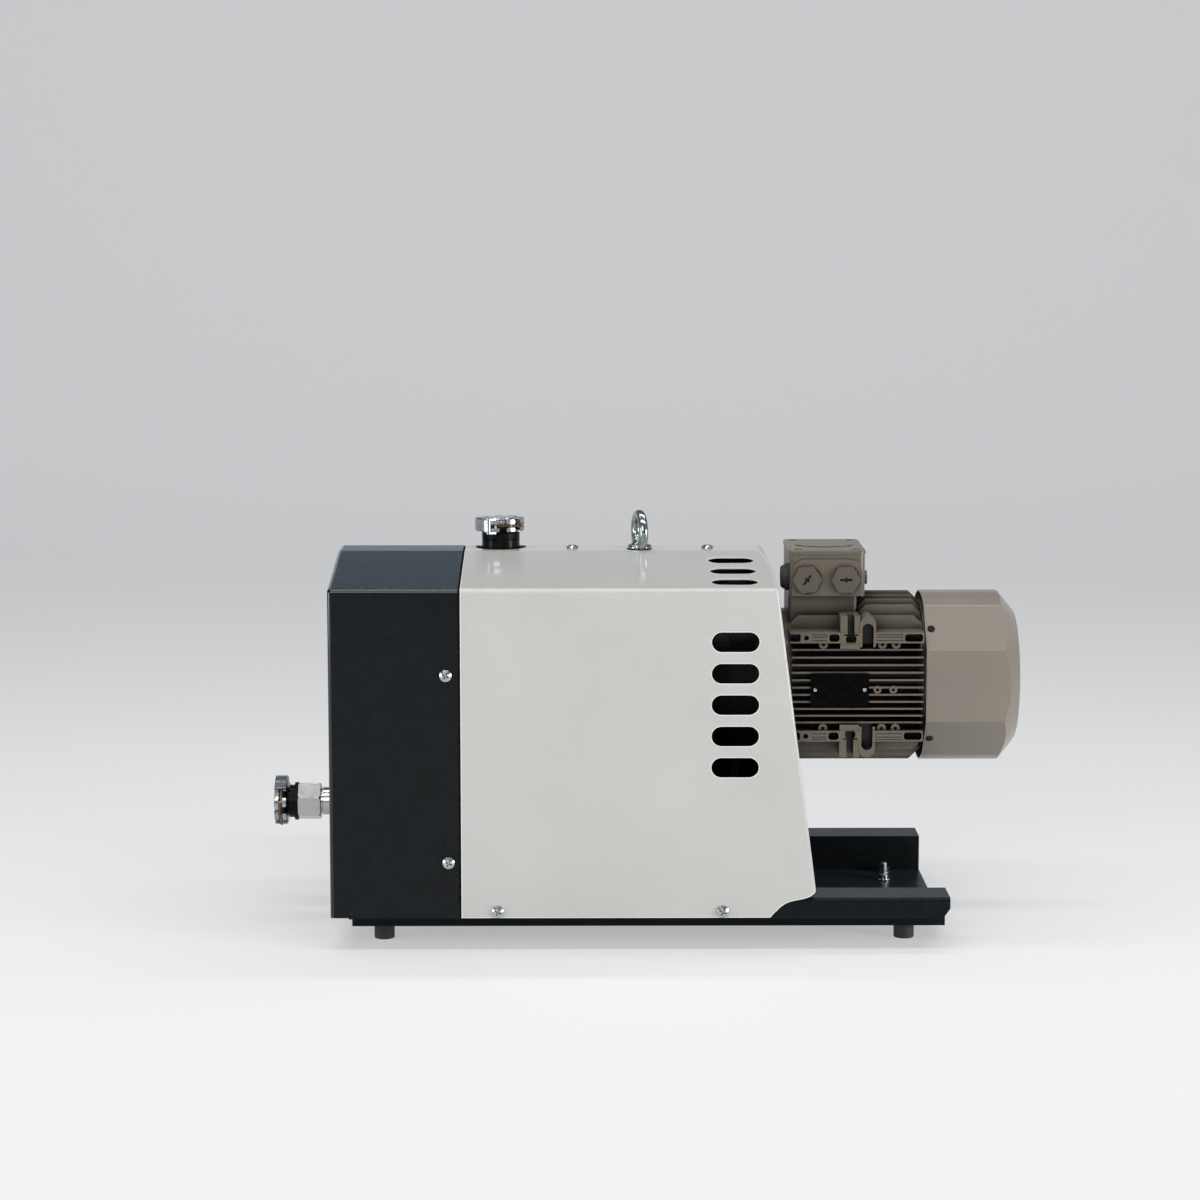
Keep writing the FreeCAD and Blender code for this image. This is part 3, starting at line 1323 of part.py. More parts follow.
def exhaust_hex():
    """Hexagon adaptor, satin finish, with turned faces."""
    length = hex_length
    bar = hexagon(hex_flats, V(hex_right, 0, exhaust_z), V(-1, 0, 0), length, hex_corner_lift - 90)
    corner = hex_flats / math.sqrt(3.0)
    profile = [(0, 0), (corner - 1.4, 0), (corner, 1.2), (corner, length - 1.2),
               (corner - 1.4, length), (0, length)]
    turned_blank = turned(profile, V(hex_right, 0, exhaust_z), V(-1, 0, 0))
    return bar.common(turned_blank).cut(rod(elbow_bore, V(hex_right, 0, exhaust_z), V(-1, 0, 0), length))


def exhaust_flange():
    """Dark flange body between the hexagon and the clamp."""
    length = flange_reach
    top = length - seal_thick / 2
    shoulder = length - lug_reach - seat_gap
    flange = small_flange(top)
    outline = [(elbow_bore, 0), (collar_radius + 0.2, 0), (collar_radius + 0.2, 3.7), (17.1, 3.7),
               (17.1, shoulder), (flange_neck, shoulder)]
    outline += flange[::-1] + [(port_bore, top), (port_bore, top - 3), (elbow_bore, top - 3)]
    return turned(outline, V(hex_left, 0, exhaust_z), V(-1, 0, 0))


def exhaust_elbow():
    """Pipe from the outlet in the side plate down into the silencer."""
    z = (drive_z + idler_z) / 2
    run = (outer_plate_left - elbow_x) - elbow_bend
    def bend(radius):
        circle = Part.Face(Part.Wire(Part.makeCircle(radius, V(elbow_x + elbow_bend, 0, z), X_AXIS)))
        quarter = circle.revolve(V(elbow_x + elbow_bend, 0, z - elbow_bend), V(0, -1, 0), 90)
        level = rod(radius, V(elbow_x + elbow_bend, 0, z), X_AXIS, run)
        drop = rod(radius, V(elbow_x, 0, silencer_boss_z), Z_AXIS, z - elbow_bend - silencer_boss_z)
        return fused([level, quarter, drop])
    return bend(elbow_radius).cut(bend(elbow_bore))


def exhaust_silencer():
    """Round silencer with domed ends, a boss for the elbow and an outlet to the nipple."""
    length = silencer_right - silencer_left
    edge = 12.0
    outline = [(0, 0), (silencer_radius - edge, 0), (silencer_radius, edge),
               (silencer_radius, length - edge), (silencer_radius - edge, length), (0, length)]
    body = turned(outline, V(silencer_left, 0, exhaust_z), X_AXIS)
    boss = rod(elbow_radius + 4, V(elbow_x, 0, exhaust_z), Z_AXIS, silencer_boss_z - exhaust_z)
    hollow = rod(silencer_radius - 4, V(silencer_left + 6, 0, exhaust_z), X_AXIS, length - 12)
    smaller = [(r - 3 if r else 0, h) for r, h in outline]
    hollow = hollow.common(turned(smaller, V(silencer_left, 0, exhaust_z), X_AXIS))
    cuts = [hollow, rod(elbow_bore, V(elbow_x, 0, exhaust_z), Z_AXIS, 80),
            rod(elbow_bore, V(silencer_left, 0, exhaust_z), X_AXIS, 20)]
    return drilled(fused([body, boss]), cuts)


def port_frames():
    """Placement of each sealing plane: local Z points outward, the lever lies towards local -X."""
    inlet = FreeCAD.Placement(V(inlet_x, inlet_y, inlet_seal_z), FreeCAD.Rotation())
    turn = FreeCAD.Rotation(V(0, 0, -1), V(0, -1, 0), V(-1, 0, 0), "ZXY")
    exhaust = FreeCAD.Placement(V(exhaust_seal_x, 0, exhaust_z), turn)
    return [inlet, exhaust]


def at_ports(shape):
    """The same local shape at both ports."""
    copies = []
    for frame in port_frames():
        copy = shape.copy()
        copy.Placement = frame.multiply(copy.Placement)
        copies.append(copy)
    return copies


def centring_rings():
    """Rings between the flanges, with the rounded seal around them."""
    half = seal_thick / 2
    outline = [(port_bore - 1.5, -half - 2), (port_bore - fit_gap, -half - 2), (port_bore - fit_gap, -half),
               (17.5, -half), (19, 0), (17.5, half), (port_bore - fit_gap, half), (port_bore - 1.5, half)]
    return at_ports(turned(outline, V(0, 0, 0), Z_AXIS))


def blank_flanges():
    """Blank flanges that close both ports."""
    half = seal_thick / 2
    slope = (flange_radius - flange_neck) * math.tan(flange_angle)
    outline = [(0, half), (flange_radius, half), (flange_radius, half + flange_rim),
               (flange_neck, half + flange_rim + slope),
               (flange_neck - 0.6, half + flange_rim + slope + 0.7),
               (0, half + flange_rim + slope + 0.7)]
    return at_ports(turned(outline, V(0, 0, 0), Z_AXIS))


def link_angles():
    """Middle angle of each link, counted from the one that carries the lever's pivot."""
    return [first_link_angle + k * 360.0 / link_count for k in range(link_count)]


def polar(radius, degrees, height=0.0):
    """Point in the local frame of a port."""
    return V(radius * math.cos(math.radians(degrees)), radius * math.sin(math.radians(degrees)), height)


def racetrack(start, end, radius, low, thick):
    """Round-ended flat bar between two points of a port's local frame."""
    along = end - start
    bar = Part.makeBox(along.Length, 2 * radius, thick, V(0, -radius, 0))
    bar = bar.fuse([rod(radius, V(x, 0, 0), Z_AXIS, thick) for x in (0, along.Length)]).removeSplitter()
    bar.Placement = FreeCAD.Placement(start + V(0, 0, low), FreeCAD.Rotation(X_AXIS, along))
    return bar


def clamp_links():
    """Links of both clamps: two grooved jaws on one pin; the first link has the lever's lugs."""
    back = 0.27
    inner = flange_neck + 1.2
    groove = clamp_half_height - (flange_radius + back - inner) * math.tan(flange_angle)
    edge = 0.7
    profile = [V(clamp_radius, 0, link_slot), V(clamp_radius, 0, clamp_half_height - edge),
               V(clamp_radius - edge, 0, clamp_half_height), V(inner, 0, clamp_half_height),
               V(flange_radius + back, 0, groove), V(flange_radius + back, 0, link_slot)]
    links = []
    for number, middle in enumerate(link_angles()):
        face = face_of(profile)
        face.rotate(V(0, 0, 0), Z_AXIS, middle - link_half_angle)
        jaw = face.revolve(V(0, 0, 0), Z_AXIS, 2 * link_half_angle)
        pin = rod(link_pin_radius, polar(link_pin_circle, middle, -clamp_half_height + 1), Z_AXIS,
                  2 * clamp_half_height - 2)
        pieces = [jaw, jaw.mirror(V(0, 0, 0), Z_AXIS), pin]
        if number == 0:
            pieces += pivot_lugs()
        links += at_ports(fused(pieces))
    return links


def pivot_lugs():
    """Two ears on the first link and the pin between them, on which the lever turns."""
    thick = 1.5
    pivot = polar(pivot_radius, pivot_angle)
    root = polar(link_pin_circle - 1, first_link_angle - 2)
    ears = [racetrack(root, pivot, 2.4, low, thick) for low in (lug_reach - thick, -lug_reach)]
    pin = rod(pivot_pin, pivot - V(0, 0, lug_reach), Z_AXIS, 2 * lug_reach)
    return ears + [pin]


def clamp_wires():
    """Flat bronze wire loops from pin to pin, by turns just above and just below mid-height."""
    wires = []
    angles = link_angles()
    thick = 1.1
    bore = link_pin_radius + fit_gap
    for k in range(link_count - 1):
        start = polar(link_pin_circle, angles[k])
        end = polar(link_pin_circle, angles[k + 1])
        low = 0.2 if k % 2 == 0 else -0.2 - thick
        loop = racetrack(start, end, bore + wire_thick, low, thick)
        wires.append(loop.cut(racetrack(start, end, bore, low, thick)))
    copies = []
    for wire in wires:
        copies += at_ports(wire)
    return copies


def clamp_lever(port):
    """Over-centre lever: barrel on the pivot pin, strap round the links and a raised thumb end."""
    half = clamp_half_height - 0.6
    pivot = polar(pivot_radius, pivot_angle, -half)
    barrel = tube(2.35, pivot_pin + fit_gap, pivot, Z_AXIS, 2 * half)
    outer = lever_inner + lever_sheet
    strap_face = face_of([V(lever_inner, 0, -half), V(outer, 0, -half),
                          V(outer, 0, half), V(lever_inner, 0, half)])
    strap_face.rotate(V(0, 0, 0), Z_AXIS, lever_end_angle)
    strap = strap_face.revolve(V(0, 0, 0), Z_AXIS, pivot_angle - 2.0 - lever_end_angle)
    hole = rod(pivot_pin + fit_gap, pivot, Z_AXIS, 2 * half)
    thumb = Part.makeBox(lever_sheet, 9.0, 2 * half, V(lever_inner, -9.0 + 0.8, -half))
    thumb.rotate(V(lever_inner, 0, 0), Z_AXIS, 8)
    thumb.rotate(V(0, 0, 0), Z_AXIS, lever_end_angle)
    shape = fused([barrel, strap.cut(hole), thumb])
    return at_ports(shape)[port]


nodes = {
    "base_tray": base_tray(),
    "rubber_feet": rubber_feet(),
    "foot_nuts": foot_nuts(),
    "earth_stud": earth_stud(),
    "acoustic_hood": acoustic_hood(),
    "main_cover": main_cover(),
    "hood_screws": hood_screws(),
    "cover_screws": cover_screws(),
    "lifting_eye": lifting_eye(),
    "claw_cylinder": claw_cylinder(),
    "outer_side_plate": outer_side_plate(),
    "inner_side_plate": inner_side_plate(),
    "gear_case": gear_case(),
    "oil_plugs": oil_plugs(),
    "pump_bearing_rings": pump_bearing_rings(),
    "shaft_seals": shaft_seals(),
    "bell_housing": bell_housing(),
    "support_brackets": support_brackets(),
    "drive_shaft": drive_shaft(),
    "idler_shaft": idler_shaft(),
    "upper_claw": claw_rotor(True),
    "lower_claw": claw_rotor(False),
    "drive_gear": gear_blank(True),
    "idler_gear": gear_blank(False),
    "coupling_hubs": coupling_hubs(),
    "coupling_spider": coupling_spider(),
    "cooling_fan": cooling_fan(),
    "motor_front_shield": motor_front_shield(),
    "motor_rear_shield": motor_rear_shield(),
    "motor_bearing_rings": motor_bearing_rings(),
    "motor_frame": motor_frame(),
    "stator_core": stator_core(),
    "motor_rotor": motor_rotor(),
    "motor_fan": motor_fan(),
    "fan_cowl": fan_cowl(),
    "cowl_screws": cowl_screws(),
    "terminal_box": terminal_box(),
    "terminal_lid": terminal_lid(),
    "lid_screws": lid_screws(),
    "cable_plugs": cable_plugs(),
    "side_gland": side_gland(),
    "rating_plate": rating_plate(),
    "plate_rivets": plate_rivets(),
    "inlet_port": inlet_port(),
    "inlet_grommet": inlet_grommet(),
    "exhaust_nipple": exhaust_nipple(),
    "exhaust_hex": exhaust_hex(),
    "exhaust_flange": exhaust_flange(),
    "exhaust_elbow": exhaust_elbow(),
    "exhaust_silencer": exhaust_silencer(),
    "centring_rings": centring_rings(),
    "blank_flanges": blank_flanges(),
    "clamp_links": clamp_links(),
    "clamp_wires": clamp_wires(),
    "inlet_clamp_lever": clamp_lever(0),
    "exhaust_clamp_lever": clamp_lever(1),
}

os.makedirs("parts", exist_ok=True)
for name, shape in nodes.items():
    if isinstance(shape, list):
        shape = Part.makeCompound(shape)
    shape.exportStep(os.path.join("parts", name + ".step"))
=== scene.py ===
import json
import math

import bmesh
import bpy
import numpy as np
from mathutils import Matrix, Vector


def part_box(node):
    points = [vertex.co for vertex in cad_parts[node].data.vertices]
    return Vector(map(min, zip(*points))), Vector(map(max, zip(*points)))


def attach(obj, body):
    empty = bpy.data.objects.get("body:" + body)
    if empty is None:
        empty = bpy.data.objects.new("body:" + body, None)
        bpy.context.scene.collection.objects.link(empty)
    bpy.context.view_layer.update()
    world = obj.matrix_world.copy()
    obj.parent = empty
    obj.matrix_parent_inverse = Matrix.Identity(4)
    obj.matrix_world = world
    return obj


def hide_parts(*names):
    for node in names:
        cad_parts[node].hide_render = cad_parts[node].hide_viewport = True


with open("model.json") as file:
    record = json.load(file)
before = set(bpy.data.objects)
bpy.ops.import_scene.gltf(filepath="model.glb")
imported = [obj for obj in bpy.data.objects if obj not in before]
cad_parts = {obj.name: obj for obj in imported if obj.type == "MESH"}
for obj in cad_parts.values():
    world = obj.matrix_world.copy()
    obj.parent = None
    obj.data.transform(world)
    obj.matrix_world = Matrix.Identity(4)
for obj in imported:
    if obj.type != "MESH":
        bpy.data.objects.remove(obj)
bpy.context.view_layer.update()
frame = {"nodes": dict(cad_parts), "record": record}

# Camera
# A long lens about 3.1 m in front of the casing and 0.8 m above the floor.
# It looks slightly down, as the photograph does, so the floor of the tray shows at the right.
camera_pitch = 0.136
camera_turn = 0.007
camera_data = bpy.data.cameras.new("studio_camera")
camera_data.sensor_width = 36.0
camera_data.lens = 96.0
camera_data.clip_end = 60.0
camera = bpy.data.objects.new("studio_camera", camera_data)
camera.location = (-0.0694, -3.3216, 0.7885)
camera.rotation_euler = (math.pi / 2 - camera_pitch, 0.0, -camera_turn)
bpy.context.scene.collection.objects.link(camera)
bpy.context.scene.camera = camera

# Floor and backdrop
# One pale sweep: a flat floor that curves up into a wall well behind the machine.
# It is a matt surface, so it takes the machine's soft shadow and shows no mirror image.


def sweep_mesh(name, half_width, front, back, radius, height, across=2, along=48):
    """Floor at z = 0 from front to back, a quarter circle of the radius, then a wall of the height."""
    run = np.linspace(0.0, 1.0, along)
    flat = back - front
    arc = radius * math.pi / 2
    total = flat + arc + height
    s = run * total
    turn = np.clip((s - flat) / radius, 0.0, math.pi / 2)
    rise = np.clip(s - flat - arc, 0.0, None)
    y = front + np.minimum(s, flat) + radius * np.sin(turn)
    z = radius * (1 - np.cos(turn)) + rise
    x = np.linspace(-half_width, half_width, across)
    grid = np.stack([np.repeat(x[None], along, 0), np.repeat(y[:, None], across, 1),
                     np.repeat(z[:, None], across, 1)], -1)
    return grid_mesh(name, grid)


def grid_mesh(name, grid, wrap_u=False, wrap_v=False):
    """Quads over a grid of points (rows, columns, 3), closed round in u or v where asked."""
    rows, columns = grid.shape[:2]
    i = np.arange(rows if wrap_u else rows - 1)
    j = np.arange(columns if wrap_v else columns - 1)
    i, j = np.meshgrid(i, j, indexing="ij")
    a = i * columns + j
    b = ((i + 1) % rows) * columns + j
    c = ((i + 1) % rows) * columns + (j + 1) % columns
    d = i * columns + (j + 1) % columns
    quads = np.stack([a, b, c, d], -1).reshape(-1, 4)
    mesh = bpy.data.meshes.new(name)
    mesh.from_pydata(grid.reshape(-1, 3).tolist(), [], quads.tolist())
    mesh.shade_smooth()
    return mesh


def placed(name, mesh, material):
    """New object at the origin with its material."""
    piece = bpy.data.objects.new(name, mesh)
    mesh.materials.clear()
    mesh.materials.append(material)
    bpy.context.scene.collection.objects.link(piece)
    return piece


def material_tree(name):
    """New node material: returns it with its nodes, its links and its shader."""
    material = bpy.data.materials.new(name)
    material.use_nodes = True
    tree = material.node_tree
    return material, tree.nodes, tree.links, tree.nodes["Principled BSDF"]


# Seen by the camera or in a mirror image, the paper is half a glow of its own, so its tone stays even.
glow_share = 0.5
paper, nodes, links, shader = material_tree("studio_paper")
shader.inputs["Base Color"].default_value = (0.78, 0.78, 0.785, 1)
shader.inputs["Roughness"].default_value = 0.9
shader.inputs["Specular IOR Level"].default_value = 0.1
glow = nodes.new("ShaderNodeEmission")
glow.inputs["Color"].default_value = (0.84, 0.845, 0.855, 1)
view_mix = nodes.new("ShaderNodeMixShader")
light_path = nodes.new("ShaderNodeLightPath")
seen = nodes.new("ShaderNodeMath")
seen.operation = "MAXIMUM"
rays = nodes.new("ShaderNodeMath")
rays.operation = "MULTIPLY"
rays.inputs[1].default_value = glow_share
links.new(light_path.outputs["Is Camera Ray"], seen.inputs[0])
links.new(light_path.outputs["Is Glossy Ray"], seen.inputs[1])
links.new(seen.outputs[0], rays.inputs[0])
links.new(rays.outputs[0], view_mix.inputs["Fac"])
links.new(shader.outputs[0], view_mix.inputs[1])
links.new(glow.outputs[0], view_mix.inputs[2])
links.new(view_mix.outputs[0], nodes["Material Output"].inputs["Surface"])
sweep = placed("studio_sweep", sweep_mesh("studio_sweep", half_width=9.0, front=-9.0, back=3.2, radius=1.5,
                                          height=0.7), paper)

# Studio light
# A large soft box in front on the left, two long strips overhead and a tall strip at each side.
# The narrow overhead strip draws the bright line along the folds; a cool surround fills the shadows.
# Past the edge of the sweep the camera sees a plain pale tone in its place.


def soft_box(name, place, aim, size, power, tint=(1, 1, 1)):
    """Rectangular lamp of the size (width, height) at place, turned to face the aim point."""
    lamp = bpy.data.lights.new(name, "AREA")
    lamp.shape = "RECTANGLE"
    lamp.size, lamp.size_y = size
    lamp.energy = power
    lamp.color = tint
    holder = bpy.data.objects.new(name, lamp)
    holder.location = place
    holder.rotation_euler = (Vector(aim) - Vector(place)).to_track_quat("-Z", "Y").to_euler()
    bpy.context.scene.collection.objects.link(holder)


soft_box("overhead_strip", place=(0.0, -0.95, 2.2), aim=(0.0, 0.0, 0.3), size=(3.2, 0.26), power=31.0,
         tint=(1.0, 0.985, 0.96))
soft_box("crease_strip", place=(0.0, 0.35, 2.2), aim=(0.0, -0.1, 0.3), size=(3.2, 0.1), power=20.0,
         tint=(1.0, 0.97, 0.94))
soft_box("front_box", place=(-1.0, -3.2, 1.7), aim=(0.0, 0.0, 0.25), size=(2.2, 1.3), power=38.5,
         tint=(1.0, 0.985, 0.955))
soft_box("right_strip", place=(2.3, -1.2, 0.45), aim=(0.36, 0.0, 0.22), size=(0.7, 0.9), power=36.0)
soft_box("left_strip", place=(-2.2, -0.95, 0.45), aim=(-0.33, 0.0, 0.25), size=(0.6, 0.9), power=16.0,
         tint=(0.94, 0.97, 1.0))
surround = bpy.data.worlds.new("surround")
surround.use_nodes = True
sky_nodes = surround.node_tree.nodes
sky_links = surround.node_tree.links
sky_nodes["Background"].inputs["Color"].default_value = (0.8, 0.88, 1.0, 1)
sky_nodes["Background"].inputs["Strength"].default_value = 0.22
beyond = sky_nodes.new("ShaderNodeBackground")
beyond.inputs["Color"].default_value = (0.80, 0.805, 0.81, 1)
sky_path = sky_nodes.new("ShaderNodeLightPath")
sky_mix = sky_nodes.new("ShaderNodeMixShader")
sky_links.new(sky_path.outputs["Is Camera Ray"], sky_mix.inputs["Fac"])
sky_links.new(sky_nodes["Background"].outputs[0], sky_mix.inputs[1])
sky_links.new(beyond.outputs[0], sky_mix.inputs[2])
sky_links.new(sky_mix.outputs[0], sky_nodes["World Output"].inputs["Surface"])
bpy.context.scene.world = surround
bpy.context.scene.view_settings.view_transform = "Standard"

# Base tray
# Two millimetre steel sheet, folded into a floor, two walls and two turned-down rims.
# Its coat is a fine-grained powder in near-black anthracite, with a faint dusty sheen.


def noise_at(nodes, links, scale, detail=2.0, stretch=(1, 1, 1)):
    """Noise in object space at a scale per metre, stretched along the axes."""
    place = nodes.new("ShaderNodeTexCoord")
    mapping = nodes.new("ShaderNodeMapping")
    mapping.inputs["Scale"].default_value = stretch
    noise = nodes.new("ShaderNodeTexNoise")
    noise.inputs["Scale"].default_value = scale
    noise.inputs["Detail"].default_value = detail
    links.new(place.outputs["Object"], mapping.inputs["Vector"])
    links.new(mapping.outputs["Vector"], noise.inputs["Vector"])
    return noise.outputs["Fac"]


def ramp_of(nodes, links, source, first, second, low=0.3, high=0.7):
    """Colour from first to second as the source goes from low to high, by default the usual span of noise."""
    ramp = nodes.new("ShaderNodeValToRGB")
    ramp.color_ramp.elements[0].position = low
    ramp.color_ramp.elements[1].position = high
    ramp.color_ramp.elements[0].color = (*first, 1)
    ramp.color_ramp.elements[1].color = (*second, 1)
    links.new(source, ramp.inputs["Fac"])
    return ramp.outputs["Color"]


def range_of(nodes, links, source, first, second, low=0.3, high=0.7):
    """Number from first to second as the source goes from low to high, by default the usual span of noise."""
    span = nodes.new("ShaderNodeMapRange")
    span.inputs["From Min"].default_value = low
    span.inputs["From Max"].default_value = high
    span.inputs["To Min"].default_value = first
    span.inputs["To Max"].default_value = second
    links.new(source, span.inputs["Value"])
    return span.outputs["Result"]


def bump_from(nodes, links, shader, source, depth, strength):
    """Bump of the given depth, in metres, and strength on the shader."""
    bump = nodes.new("ShaderNodeBump")
    bump.inputs["Strength"].default_value = strength
    bump.inputs["Distance"].default_value = depth
    links.new(source, bump.inputs["Height"])
    links.new(bump.outputs["Normal"], shader.inputs["Normal"])


def blended(nodes, links, mode, tone, other):
    """The two colours put together in full by the mode, such as MULTIPLY or ADD."""
    blend = nodes.new("ShaderNodeMix")
    blend.data_type = "RGBA"
    blend.blend_type = mode
    blend.inputs["Factor"].default_value = 1.0
    links.new(tone, blend.inputs["A"])
    links.new(other, blend.inputs["B"])
    return blend.outputs["Result"]


def openness(nodes, reach, inside):
    """Share of free rays: 1 in the open, less where surfaces stand within the reach, outside or inside."""
    rays = nodes.new("ShaderNodeAmbientOcclusion")
    rays.inside = inside
    rays.inputs["Distance"].default_value = reach
    rays.samples = 8
    return rays.outputs["AO"]


def shade_painted_in_hollows(nodes, links, tone, reach, painted_shade):
    """Painted shade: the tone times a factor that falls by the given share in recesses narrower than the
    reach.
    """
    free = openness(nodes, reach, inside=False)
    shade = ramp_of(nodes, links, free, (1 - painted_shade,) * 3, (1, 1, 1), low=0.25, high=0.85)
    return blended(nodes, links, "MULTIPLY", tone, shade)


def highlight_painted_on_edges(nodes, links, tone, reach, edge_highlight_gain):
    """Painted highlight: the tone made paler, up to the given factor, at outer edges, found where rays sent
    inwards soon leave the piece.
    """
    free = openness(nodes, reach, inside=True)
    shade = ramp_of(nodes, links, free, (edge_highlight_gain,) * 3, (1, 1, 1), low=0.45, high=0.9)
    return blended(nodes, links, "MULTIPLY", tone, shade)


def powder_coat(name, dark, light, rough=(0.38, 0.5), grain=700.0, depth=0.0001, speck=0.0, shine=0.5,
                polish=0.0, painted_shade=0.0, reach=0.01, rim=0.0, edge_highlight_gain=1.5, tint=(1, 1, 1), clouds=9.0,
                bloom=0.0, worn=0.0):
    """Powder coat: faint cloudy tone, orange-peel grain in bump, and a sheen that varies with it.

    speck adds pale flecks to the tone, shine is the strength of the plain reflection, tint its colour and
    polish the weight of a smooth top layer; painted_shade darkens recesses narrower than the reach as
    painted shade, and within rim of an outer edge the coat is made paler by edge_highlight_gain as a
    painted highlight; bloom is the weight of a dusty sheen at flat angles, and worn, where it is given,
    the weight of the top layer on the long folds.
    """
    material, nodes, links, shader = material_tree(name)
    cloud = noise_at(nodes, links, clouds, detail=3.0)
    fine = noise_at(nodes, links, grain, detail=3.0)
    tone = ramp_of(nodes, links, cloud, dark, light)
    if speck:
        bluish = (speck, speck, speck * 1.08)
        flecks = ramp_of(nodes, links, fine, (0, 0, 0), bluish, low=0.52, high=0.74)
        tone = blended(nodes, links, "ADD", tone, flecks)
    if painted_shade:
        tone = shade_painted_in_hollows(nodes, links, tone, reach, painted_shade)
    if rim:
        tone = highlight_painted_on_edges(nodes, links, tone, rim, edge_highlight_gain)
    links.new(tone, shader.inputs["Base Color"])
    links.new(range_of(nodes, links, fine, *rough), shader.inputs["Roughness"])
    shader.inputs["Specular IOR Level"].default_value = shine
    shader.inputs["Specular Tint"].default_value = (*tint, 1)
    shader.inputs["Coat Weight"].default_value = polish
    if worn:
        fold = nodes.new("ShaderNodeAttribute")
        fold.attribute_name = "fold"
        top_layer = range_of(nodes, links, fold.outputs["Fac"], polish, worn, low=0.0, high=1.0)
        links.new(top_layer, shader.inputs["Coat Weight"])
    shader.inputs["Coat Roughness"].default_value = 0.1
    shader.inputs["Coat IOR"].default_value = 1.6
    shader.inputs["Sheen Weight"].default_value = bloom
    shader.inputs["Sheen Roughness"].default_value = 0.35
    shader.inputs["Sheen Tint"].default_value = (*(channel ** 3 for channel in tint), 1)
    if depth:
        bump_from(nodes, links, shader, fine, depth, strength=0.5)
    return material


body_of = {node: body for body, members in frame["record"]["behaviour"]["bodies"].items() for node in members}
same_place = 1e-6


def dressed(node, material, edge=0.0004, smooth=32.0, segments=2):
    """Copy of a CAD node with its doubles merged, its edges rounded and its curves shaded smooth.

    A bevel of the given width rounds every edge sharper than the smooth angle, and every fold of more
    than four degrees between two broad faces; normals weighted by area keep the flats flat. The points
    within a long bend, which touch no broad face, are marked by the attribute fold.
    """
    flat_turn = math.radians(0.5)
    fold_turn = math.radians(4.0)
    bend_turn = math.radians(3.0)
    sharp_turn = math.radians(smooth)
    broad_area = 0.004
    long_line = 0.02
    mesh = frame["nodes"][node].data.copy()
    work = bmesh.new()
    work.from_mesh(mesh)
    bmesh.ops.remove_doubles(work, verts=work.verts, dist=same_place)
    bmesh.ops.dissolve_limit(work, angle_limit=flat_turn, verts=work.verts, edges=work.edges)
    weight = work.edges.layers.float.new("bevel_weight_edge")
    fold = work.verts.layers.float.new("fold")
    bending = {line for line in work.edges if line.calc_length() > long_line
               and bend_turn < line.calc_face_angle(math.pi) < sharp_turn}
    for corner in work.verts:
        inside = all(face.calc_area() < broad_area for face in corner.link_faces)
        corner[fold] = float(inside and not bending.isdisjoint(corner.link_edges))
    for face in work.faces:
        face.smooth = True
    for line in work.edges:
        bend = line.calc_face_angle(math.pi)
        broad = bend > fold_turn and min(face.calc_area() for face in line.link_faces) > broad_area
        line.smooth = not (broad or bend > sharp_turn)
        line[weight] = 0.0 if line.smooth else 1.0
    work.to_mesh(mesh)
    work.free()
    piece = placed(node + "_finished", mesh, material)
    if edge:
        bevel = piece.modifiers.new("rounded_edges", "BEVEL")
        bevel.width = edge
        bevel.segments = segments
        bevel.limit_method = "WEIGHT"
        flats = piece.modifiers.new("flat_faces", "WEIGHTED_NORMAL")
        flats.weight = 80
    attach(piece, body_of[node])
    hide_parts(node)
    return piece


def coat_node(node, material):
    """The CAD node itself, with the material in every slot."""
    data = frame["nodes"][node].data
    data.materials.clear()
    data.materials.append(material)


cold_gloss = (0.66, 0.86, 1.0)
tray_black = powder_coat("tray_powder", (0.0042, 0.0052, 0.0058), (0.0060, 0.0072, 0.0080),
                         rough=(0.3, 0.44), grain=600.0, depth=0.00014, speck=0.004, shine=0.08, polish=0.04,
                         tint=cold_gloss, clouds=60.0, bloom=0.04)
dressed("base_tray", tray_black, edge=0.0006, smooth=44.0)

# Feet, nuts and stud
# Round buffers of black rubber, screwed to the tray with zinc nuts that stand on its floor.
# A zinc stud with its washer stands beside them for the earth wire.


def rubber(name, tone=0.012, rough=(0.55, 0.75), shine=0.5):
    """Moulded rubber: near black, with a dusty bloom and a faint grain."""
    material, nodes, links, shader = material_tree(name)
    dusty = tone * 2.6
    dust = noise_at(nodes, links, scale=60.0, detail=5.0)
    skin = ramp_of(nodes, links, dust, (tone,) * 3, (dusty,) * 3, low=0.35, high=0.8)
    links.new(skin, shader.inputs["Base Color"])
    links.new(range_of(nodes, links, dust, *rough), shader.inputs["Roughness"])
    shader.inputs["Specular IOR Level"].default_value = shine
    bump_from(nodes, links, shader, noise_at(nodes, links, scale=900.0), depth=0.0001, strength=0.4)
    return material


def plated(name, dark, light, rough=(0.2, 0.34), tint_scale=40.0, grain=150.0, depth=0.00002, recess_shade=0.0):
    """Plated or polished metal: patchy tone, sheen that varies and slow waves in the surface.

    recess_shade darkens recesses within two millimetres, such as a screw's cross, as painted shade.
    """
    recess_shade_reach = 0.002
    material, nodes, links, shader = material_tree(name)
    shader.inputs["Metallic"].default_value = 1.0
    patch = noise_at(nodes, links, tint_scale, detail=4.0)
    fine = noise_at(nodes, links, grain, detail=2.0)
    tone = ramp_of(nodes, links, patch, dark, light, low=0.35)
    if recess_shade:
        tone = shade_painted_in_hollows(nodes, links, tone, recess_shade_reach, recess_shade)
    links.new(tone, shader.inputs["Base Color"])
    links.new(range_of(nodes, links, fine, *rough), shader.inputs["Roughness"])
    bump_from(nodes, links, shader, fine, depth, strength=0.2)
    return material


black_rubber = rubber("black_rubber")
